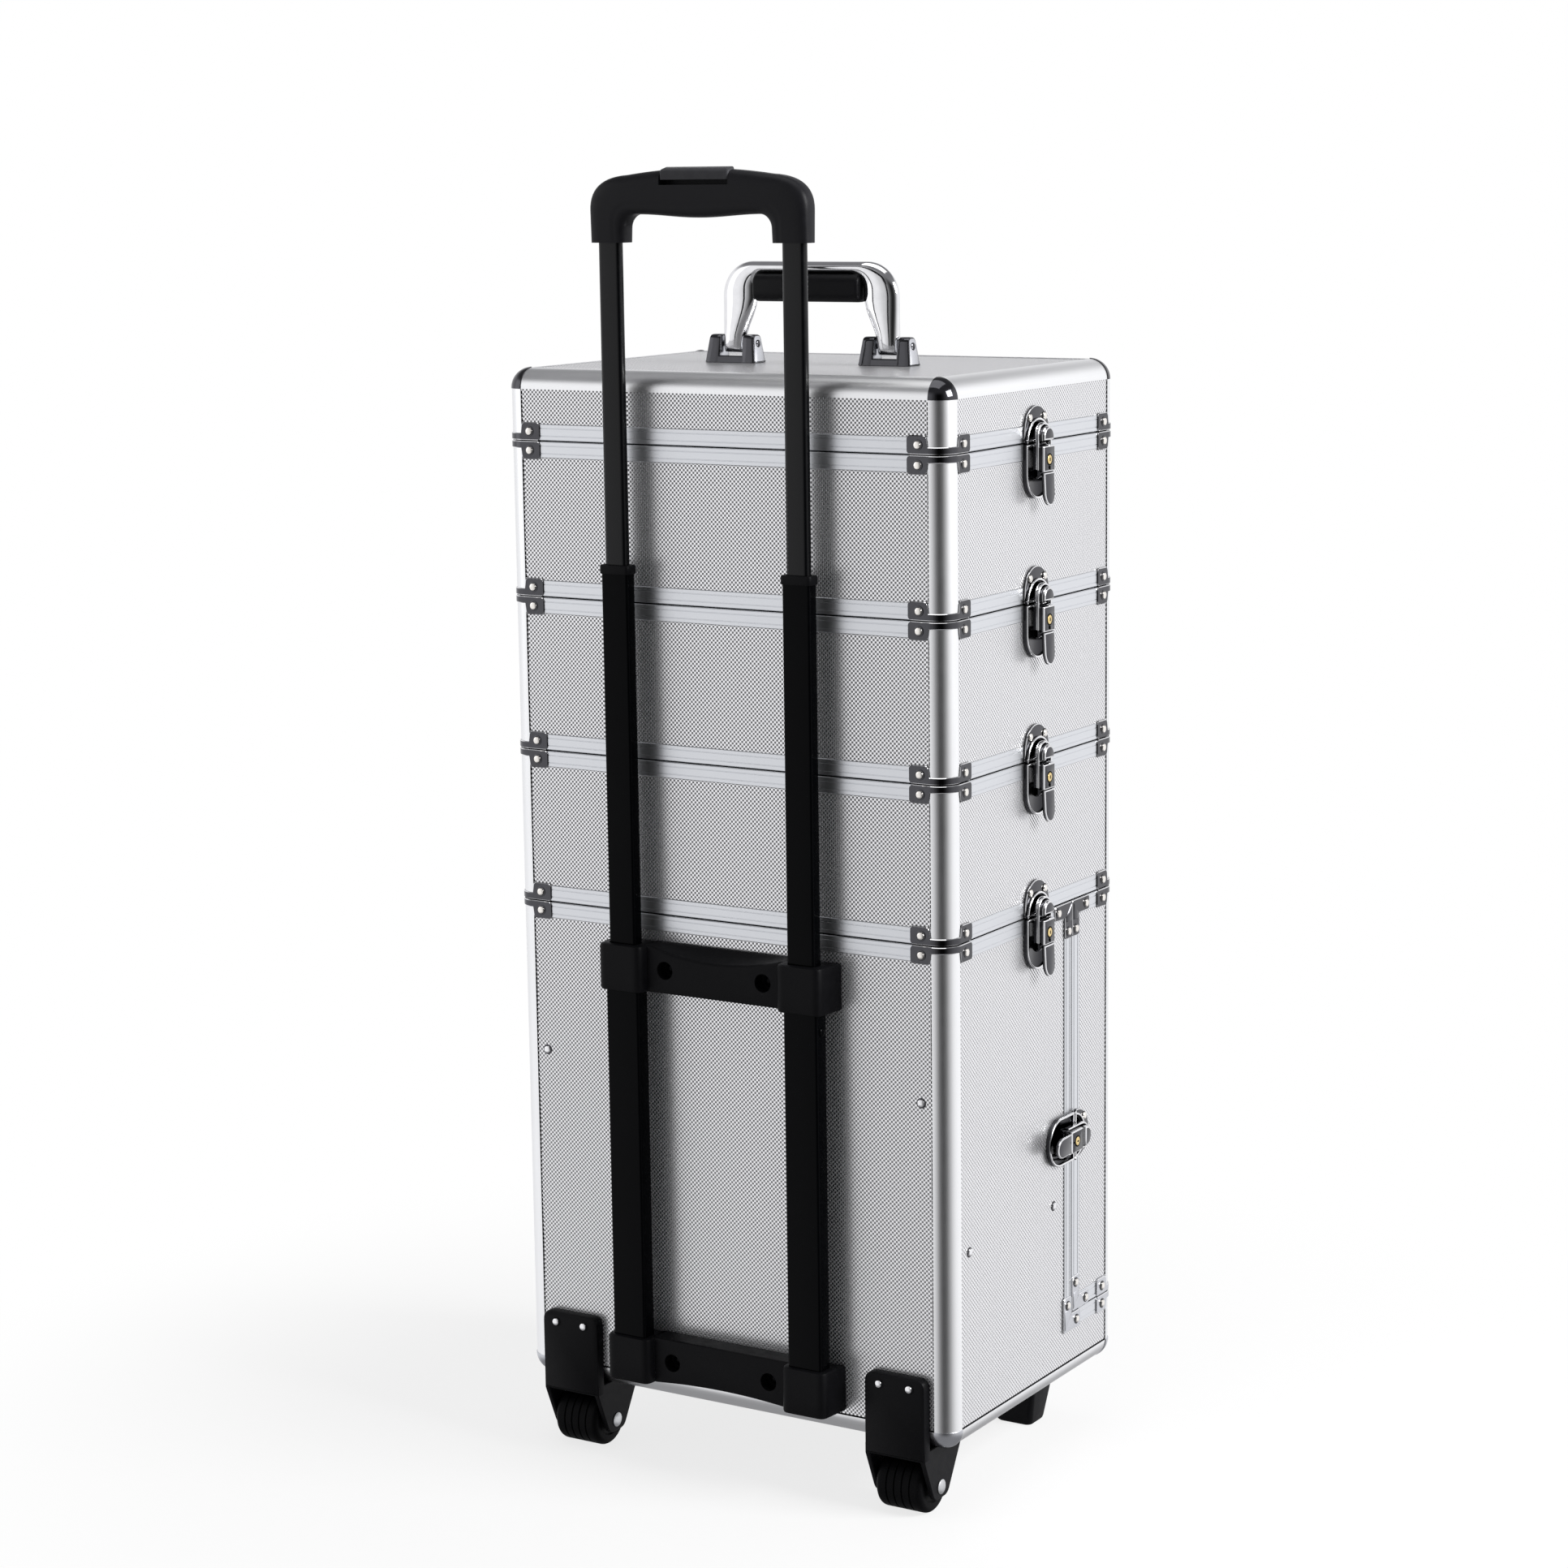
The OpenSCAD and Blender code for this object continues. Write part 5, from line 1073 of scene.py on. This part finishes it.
# Trolley grip: a rounded section spanned between its outer and inner boundary, with a seam round its lower third
def buildGrip():
    g = dots(gripShape)
    top, half, under = g.z + g.h, g.w / 2, g.z + g.under
    crownR = (half ** 2 + g.crown ** 2) / (2 * g.crown)
    shoulderZ = top - g.shoulder ** 2 / (2 * crownR)
    corner = np.array([half, shoulderZ - 0.35 * (half - g.shoulder) * g.shoulder / crownR])
    bend = bridged([half, g.z + g.knee], corner, [g.shoulder, shoulderZ], np.linspace(0, 1, 15)[:, None])
    barX = np.linspace(g.shoulder, 0, 13)[1:]
    bar = np.column_stack([barX, top - barX ** 2 / (2 * crownR)])
    outer = mirrored(np.concatenate([legPoints(half, g.z, g.z + g.knee), bend, bar]))
    inner = bowCurve(trolley.tubeX - g.legW / 2, g.z, under, g.innerR, 13, g.sag)
    depth = np.interp(inner[:, 1], [g.z, under], [g.legD / 2, g.d / 2])
    rings = spanned(outer, inner, depth, g.power, 64)
    seam = np.isclose(np.abs(wholeTurn(64) - pi), pi - g.seamAt, atol=0.05)
    rings[:, seam, 1] *= g.seamIn
    grip = Pile().at(0, tubeY).add(rings)
    piece = makePiece("trolleyGrip", grip, "grip", "inner_stage", "trolley_grip")
    buttonTop = top + g.buttonUp
    backEdge = g.d / 2 - 1 - g.buttonD - g.slack
    cut = roundRect(g.buttonL + 2 * g.slack, 30, 1.5, 4, (0, backEdge + 15))
    deep = buttonTop - g.buttonH - g.buttonTravel - g.slack
    carve(piece, Pile().at(0, tubeY).add(plate(cut, [(0, deep), (0, top + 5)])))
    outline = roundRect(g.buttonL, g.buttonD, 1.6, 5, (0, backEdge + g.slack + g.buttonD / 2))
    shape = plate(outline, [(0, buttonTop - g.buttonH), (0, buttonTop - 1.2), (0.25, buttonTop - 0.5),
                            (0.8, buttonTop - 0.1), (1.6, buttonTop)])
    shape[:, :, 2] -= np.clip(shape[:, :, 1] - 2, 0, None) ** 2 * 0.06 * (shape[:, :, 2] > top - 1)  # follows the grip
    button = Pile().at(0, tubeY).add(shape)
    makePiece("gripButton", button, "button", "trolley_button", "trolley_button")


buildTubes("outerTubes", "outer_tubes", "base", trolley.outer, trolley.round, "tube", True)
buildTubes("middleTubes", "middle_tubes", "middle_stage", trolley.middle, trolley.round, "tube")
buildTubes("innerTubes", "inner_tubes", "inner_stage", trolley.inner, trolley.innerRound, "innerTube")
buildCollars()
buildBrackets()
buildGrip()
print("trolley done")


wheelShape = {
    "r": 19.0, "w": 35.0, "hubR": 8.0, "axleR": 3.0, "drop": 29.5, "axleIn": 15.5, "x": 130.0, "cheekT": 3.5,
    "side": 2.0, "plateT": 7.0, "plateUp": 50.0, "bottom": -7.0, "cheekR": 8.0, "front": 44.0, "underT": 4.0,
    "topR": 7.0, "edge": 4.0, "grooves": 4, "grooveW": 1.2, "grooveD": 0.9, "headR": 5.0, "lap": 0.2,
}
wheel = dots(wheelShape)
axleY, axleZ = halfD - wheel.axleIn, -wheel.drop


# Tyre profile: round shoulders and a row of grooves in the tread
def treadProfile():
    w, half = wheel, wheel.w / 2
    shoulder = [w.r - w.edge, w.edge - half] + w.edge * onCircle(np.linspace(0, pi / 2, 7))[:, ::-1] * [1, -1]
    mids = (np.arange(w.grooves) - (w.grooves - 1) / 2) * w.w / 6
    notch = np.array([[0, -0.5], [-0.7, -0.42], [-1, -0.25], [-1, 0.25], [-0.7, 0.42], [0, 0.5]])
    cuts = [notch * [w.grooveD, w.grooveW] + [w.r, m] for m in mids]
    rim = np.array([[w.r - 8.0, 1.0 - half], [w.r - 7.0, -half]])
    bore = [[w.hubR - 0.5, half - 1.0], [w.hubR - 0.5, 1.0 - half]]
    return np.concatenate([rim, shoulder, *cuts, shoulder[::-1] * [1, -1], rim[::-1] * [1, -1], bore])


# Wheels: a grooved tyre turned about its axle, and a hub
def buildWheels():
    w = wheel
    hub, bore = w.w / 2 + w.side - 0.3, w.axleR + 0.1
    for name, s in (("wheel_left", -1), ("wheel_right", 1)):
        pile = Pile().put(alongX, (s * w.x, axleY, axleZ))
        pile.add(turned(treadProfile(), 72), loop=True)
        pile.add(turned([[bore, -hub], [w.hubR - 1, -hub], [w.hubR, 1 - hub], [w.hubR, hub - 1], [w.hubR - 1, hub],
                         [bore, hub]], 48), 1, loop=True)
        makePiece(name.replace("wheel", "tyre"), pile, "tread zinc", name, name)


# Housings: back plate with a round top, two tapering cheeks, a cover under the case and two bright rivets
def buildHousings():
    w = wheel
    half = w.w / 2 + w.side + w.cheekT
    pile, axles = Pile(), Pile()
    back = softCorners([[-half, w.bottom], [half, w.bottom], [half, w.plateUp], [-half, w.plateUp]],
                       [2.0, 2.0, w.topR, w.topR], 8)
    low, foot, root = axleZ - w.cheekR, w.cheekR + 1, w.plateT - 0.5
    cheek = softCorners([[root, 0.5], [root, w.bottom], [foot - w.axleIn, low], [-foot - w.axleIn, low],
                         [-w.front, -w.underT], [-w.front, -0.1]], [0.4, 3.0, w.cheekR, w.cheekR, 2.0, 0.3], 8)
    backLevels = [(0, 0), (0, w.plateT - 2.0), (0.6, w.plateT - 0.6), (2.0, w.plateT)]
    head = turned([[w.headR, 0], [w.headR, 0.5], [w.headR - 0.8, 1.0], [2.0, 1.45], [0.4, 1.5]])
    for s in (-1, 1):
        middle = s * w.x
        onWall(pile, 0).add(plate(back, backLevels) + [middle, 0, 0])
        for e in (-1, 1):
            outer = e * (half - w.lap)
            pile.put(alongX, (middle + min(outer, outer - e * w.cheekT), halfD, 0))
            pile.add(plate(cheek, [(0.6, 0), (0, 0.6), (0, w.cheekT - 0.6), (0.6, w.cheekT)]))
            addRivet(pile, 0, middle + e * half / 2, w.plateUp - w.topR, w.plateT, 0)
            axles.put(alongX, (middle + outer, axleY, axleZ)).add(head * [1, 1, e])
        cover = roundRect(2 * half - w.cheekT, w.front + w.plateT - w.cheekT, 1.5, 4,  # it ends inside the walls
                          (middle, halfD + (w.plateT - w.front) / 2))
        pile.at().add(plate(cover, [(0.4, -w.underT), (0, 0.4 - w.underT), (0, -0.05)]))
        axles.put(alongX, (middle, axleY, axleZ)).add(turned([[w.axleR, -half], [w.axleR, half]]))
    makePiece("wheelHousings", pile, "mould chrome", "base", "wheel_housings")
    makePiece("wheelAxles", axles, "zinc", "base", "wheel_axles")


footShape = {"w": 28.0, "d": 22.0, "x": 113.0, "inset": 35.0, "flare": 6.0, "front": 12.0, "back": 3.0, "round": 4.0}


# Feet: round-cornered rings that widen from the floor to the case
def buildFeet():
    f = dots(footShape)
    rises = ((0, 1.2), (0.02, 0.3), (0.06, 0), (0.3, 0), (0.6, 0), (0.9, 0), (0.96, 0.2), (1.0, 0.8))  # and insets
    rows = [lifted(roundRect(f.w + 2 * f.flare * r - 2 * i, f.d + (f.front + f.back) * r - 2 * i, f.round, 6,
                             (0, (f.back - f.front) * r / 2)), floorZ * (1 - r)) for r, i in rises]
    pile = paired(f.x, f.inset - halfD, np.stack(rows))
    makePiece("frontFeet", pile, "mould", "base", "front_feet")


buildWheels()
buildHousings()
buildFeet()
print("wheels and feet done")


strapShape = {"loops": 5, "bow": 0.15, "off": 0.1, "edge": 0.3, "thickShare": 1.04 / 1.5}


# Elastic band across the inside of the back: it bows off the lining between stitched points by a squared sine
def buildStrap():
    b = dots(strapShape)
    low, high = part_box("inner_strap")
    z0, z1 = levelOf(low.z), levelOf(high.z)
    x = np.linspace(low.x, high.x, 91) / mm
    y = (high.y - midY) / mm - b.off - b.bow * np.sin(pi * np.linspace(0, b.loops, 91)) ** 2
    t = b.thickShare * (high.y - low.y) / mm
    edge = [(z0 + b.edge, 0), (z0, -t / 2), (z0 + b.edge, -t), (z1 - b.edge, -t), (z1, -t / 2), (z1 - b.edge, 0)]
    rings = np.stack([lifted(np.column_stack([x, y + out]), z) for z, out in edge], 1)
    makePiece("elasticBand", Pile().add(rings), "elastic", "base", "inner_strap")


buildStrap()

# CAD nodes whose shape stays get their finishes here
keptNodes = {"base_hinge": "zinc", "door_hinge": "zinc", "shelf": "lining", "shelf_runners": "mould",
             "bracket_screws": "tube"}
for nodeName, lookName in keptNodes.items():
    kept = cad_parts[nodeName]
    kept.data.materials.clear()
    kept.data.materials.append(looks[lookName])
print("inside done")


# Camera at the photograph's place: azimuth, elevation and roll in degrees
photoView = {"place": (-1.25841, 2.06515, 0.89386), "azimuth": 211.744, "elevation": 10.031, "roll": -0.780,
             "lens": 82.23, "sensor": 36.0}


# The camera looks back along its azimuth and elevation, then rolls about that line
def placeCamera():
    a, e, c = (radians(photoView[key]) for key in ("azimuth", "elevation", "roll"))
    back = Vector((sin(a) * cos(e), -cos(a) * cos(e), sin(e)))
    right = (-back).cross(Vector((0, 0, 1))).normalized()
    up = right.cross(-back)
    lens = bpy.data.cameras.new("photoCamera")
    lens.lens, lens.sensor_width, lens.sensor_fit = photoView["lens"], photoView["sensor"], "HORIZONTAL"
    camera = newObject("photoCamera", lens)
    rows = Matrix((cos(c) * right + sin(c) * up, cos(c) * up - sin(c) * right, back)).transposed().to_4x4()
    rows.translation = Vector(photoView["place"])
    camera.matrix_world = rows
    bpy.context.scene.camera = camera


studio = {
    "fill": 0.26, "floorR": 0.9, "floorFade": (0.3, 0.72), "floorWhite": (0.78, 1.0), "paper": (0.85, 0.89),
    "fibre": 60.0, "domeR": 3.8, "ceiling": (0.2, 0.2, 0.21), "ceilingFrom": (1.9, 2.9),
    "under": (0.3, 0.3, 0.309), "underFrom": (-1.2, -2.4), "cardTint": (1.0, 1.0, 1.02),
    # grey of the card dome over the turn from +Y towards -X, in degrees
    "cards": [(-180, 0.85), (-165, 0.88), (-135, 0.88), (-100, 0.9), (-60, 1.0), (-31, 0.97), (-8, 0.68), (5, 0.34),
              (17, 0.1), (27, 0.02), (43, 0.02), (53, 0.09), (65, 0.31), (77, 0.56), (89, 0.78), (101, 0.95),
              (130, 1.05), (146, 1.05), (160, 0.95), (180, 0.85)],
    # place, aim, size and power of each lamp
    "lamps": {"keySoftbox": ((-2.5, -0.15, 1.85), (0, 0, 0.45), (1.4, 1.2), 100.0),
              "topSoftbox": ((0.0, 0.2, 2.7), (0, 0, 0.4), (1.8, 1.8), 15.0),
              "sideSoftbox": ((2.2, 1.4, 1.2), (0, 0, 0.45), (1.2, 1.8), 3.0)},
}


def addLamp(name, place, target, size, power):  # a rectangle of light aimed at a point
    lamp = bpy.data.lights.new(name, "AREA")
    lamp.shape = "RECTANGLE"
    lamp.size, lamp.size_y = size
    lamp.energy = power
    holder = newObject(name, lamp)
    holder.location = place
    holder.rotation_euler = (Vector(target) - Vector(place)).to_track_quat("-Z", "Y").to_euler()


def seenRay(tree):  # 1 for camera, glossy and transmission rays
    path = addNode(tree, "LightPath")
    seen = mathNode(tree, "MAXIMUM", path["Is Camera Ray"], path["Is Glossy Ray"])
    return mathNode(tree, "MAXIMUM", seen, path["Is Transmission Ray"])


# White surroundings for the camera, metal and glass; a plainer level lights the rest
def makeWorld():
    world = bpy.data.worlds.new("studioWorld")
    world.use_nodes = True
    tree = world.node_tree
    level = ranged(tree, seenRay(tree), 0, 1, studio["fill"], 1.0)
    wire(tree, tree.nodes["Background"], {"Color": (1, 1, 1, 1), "Strength": level})
    bpy.context.scene.world = world


def stageObject(name, points, faces, look):  # a mesh of the set, which isn't part of the case
    mesh = bpy.data.meshes.new(name)
    mesh.from_pydata(points.tolist(), [], faces)
    mesh.materials.append(look)
    thing = newObject(name, mesh)
    return thing


# Round paper floor: seen as white that the case shades, and plain white towards its rim
def makeFloor():
    look, tree, paper, coords = newLook("palePaper", 0.0, {"Roughness": 0.9})
    fibre = noise(tree, coords["Object"], studio["fibre"], 4.0)
    wire(tree, paper, {"Base Color": mixColour(tree, fibre, *((grey,) * 3 for grey in studio["paper"]))})
    away = addNode(tree, "VectorMath", {0: coords["Object"]}, operation="LENGTH")["Value"]
    fade = ranged(tree, away, *studio["floorFade"], *studio["floorWhite"], ease="SMOOTHSTEP")
    white = addNode(tree, "Emission", {"Color": (1, 1, 1, 1), "Strength": 1.0})["Emission"]
    factor = mathNode(tree, "MULTIPLY", fade, seenRay(tree))
    both = addNode(tree, "MixShader", {0: factor, 1: paper.outputs["BSDF"], 2: white})
    wire(tree, tree.nodes["Material Output"], {"Surface": both["Shader"]})
    rim = studio["floorR"] * lifted(onCircle(wholeTurn(96)), 0)
    floor = stageObject("studioFloor", rim, [list(range(96))], look)
    floor.visible_glossy = False  # metal mirrors the cards below it instead


def greyRamp(tree, share, stops):  # a ramp over the whole turn
    ramp = tree.nodes.new("ShaderNodeValToRGB")
    wire(tree, ramp, {"Fac": share})
    ramp.color_ramp.interpolation = "EASE"
    marks = ramp.color_ramp.elements
    for degrees, grey in stops[1:-1]:
        marks.new((degrees + 180) / 360)
    for mark, (degrees, grey) in zip(marks, stops):
        mark.position = (degrees + 180) / 360
        mark.color = (*toned(studio["cardTint"], grey), 1)
    return ramp.outputs["Color"]


# Dome of grey cards round the set, which only mirror rays see: its grey follows the turn, up to a darker ceiling
def makeCardDome():
    look, tree, shader, coords = newLook("greyCards", 0.0)
    tree.nodes.remove(shader)
    split = addNode(tree, "SeparateXYZ", {"Vector": coords["Object"]})
    angle = mathNode(tree, "ARCTAN2", mathNode(tree, "MULTIPLY", split["X"], -1.0), split["Y"])
    grey = greyRamp(tree, ranged(tree, angle, -pi, pi), studio["cards"])
    for part in ("ceiling", "under"):
        share = ranged(tree, split["Z"], *studio[part + "From"], ease="SMOOTHSTEP")
        grey = mixColour(tree, share, grey, studio[part])
    card = addNode(tree, "Emission", {"Color": grey, "Strength": 1.0})
    wire(tree, tree.nodes["Material Output"], {"Surface": card["Emission"]})
    tilt = np.radians(np.linspace(-89.0, 89.0, 33))
    rings = turned(np.stack([np.cos(tilt), np.sin(tilt)], -1), 96)
    index = np.arange(33 * 96).reshape(33, 96)
    nextCol = np.roll(index, -1, axis=1)
    quads = np.stack([index[:-1], index[1:], nextCol[1:], nextCol[:-1]], -1).reshape(-1, 4)
    faces = quads.tolist() + index[[0, -1]].tolist()
    dome = stageObject("cardDome", rings.reshape(-1, 3) * studio["domeR"], faces, look)
    for kind in ("camera", "diffuse", "transmission", "volume_scatter", "shadow"):
        setattr(dome, "visible_" + kind, False)


placeCamera()
makeWorld()
makeFloor()
makeCardDome()
for lampName, lampSetting in studio["lamps"].items():
    addLamp(lampName, *lampSetting)
bpy.context.scene.view_settings.view_transform = "Standard"
print("studio done")
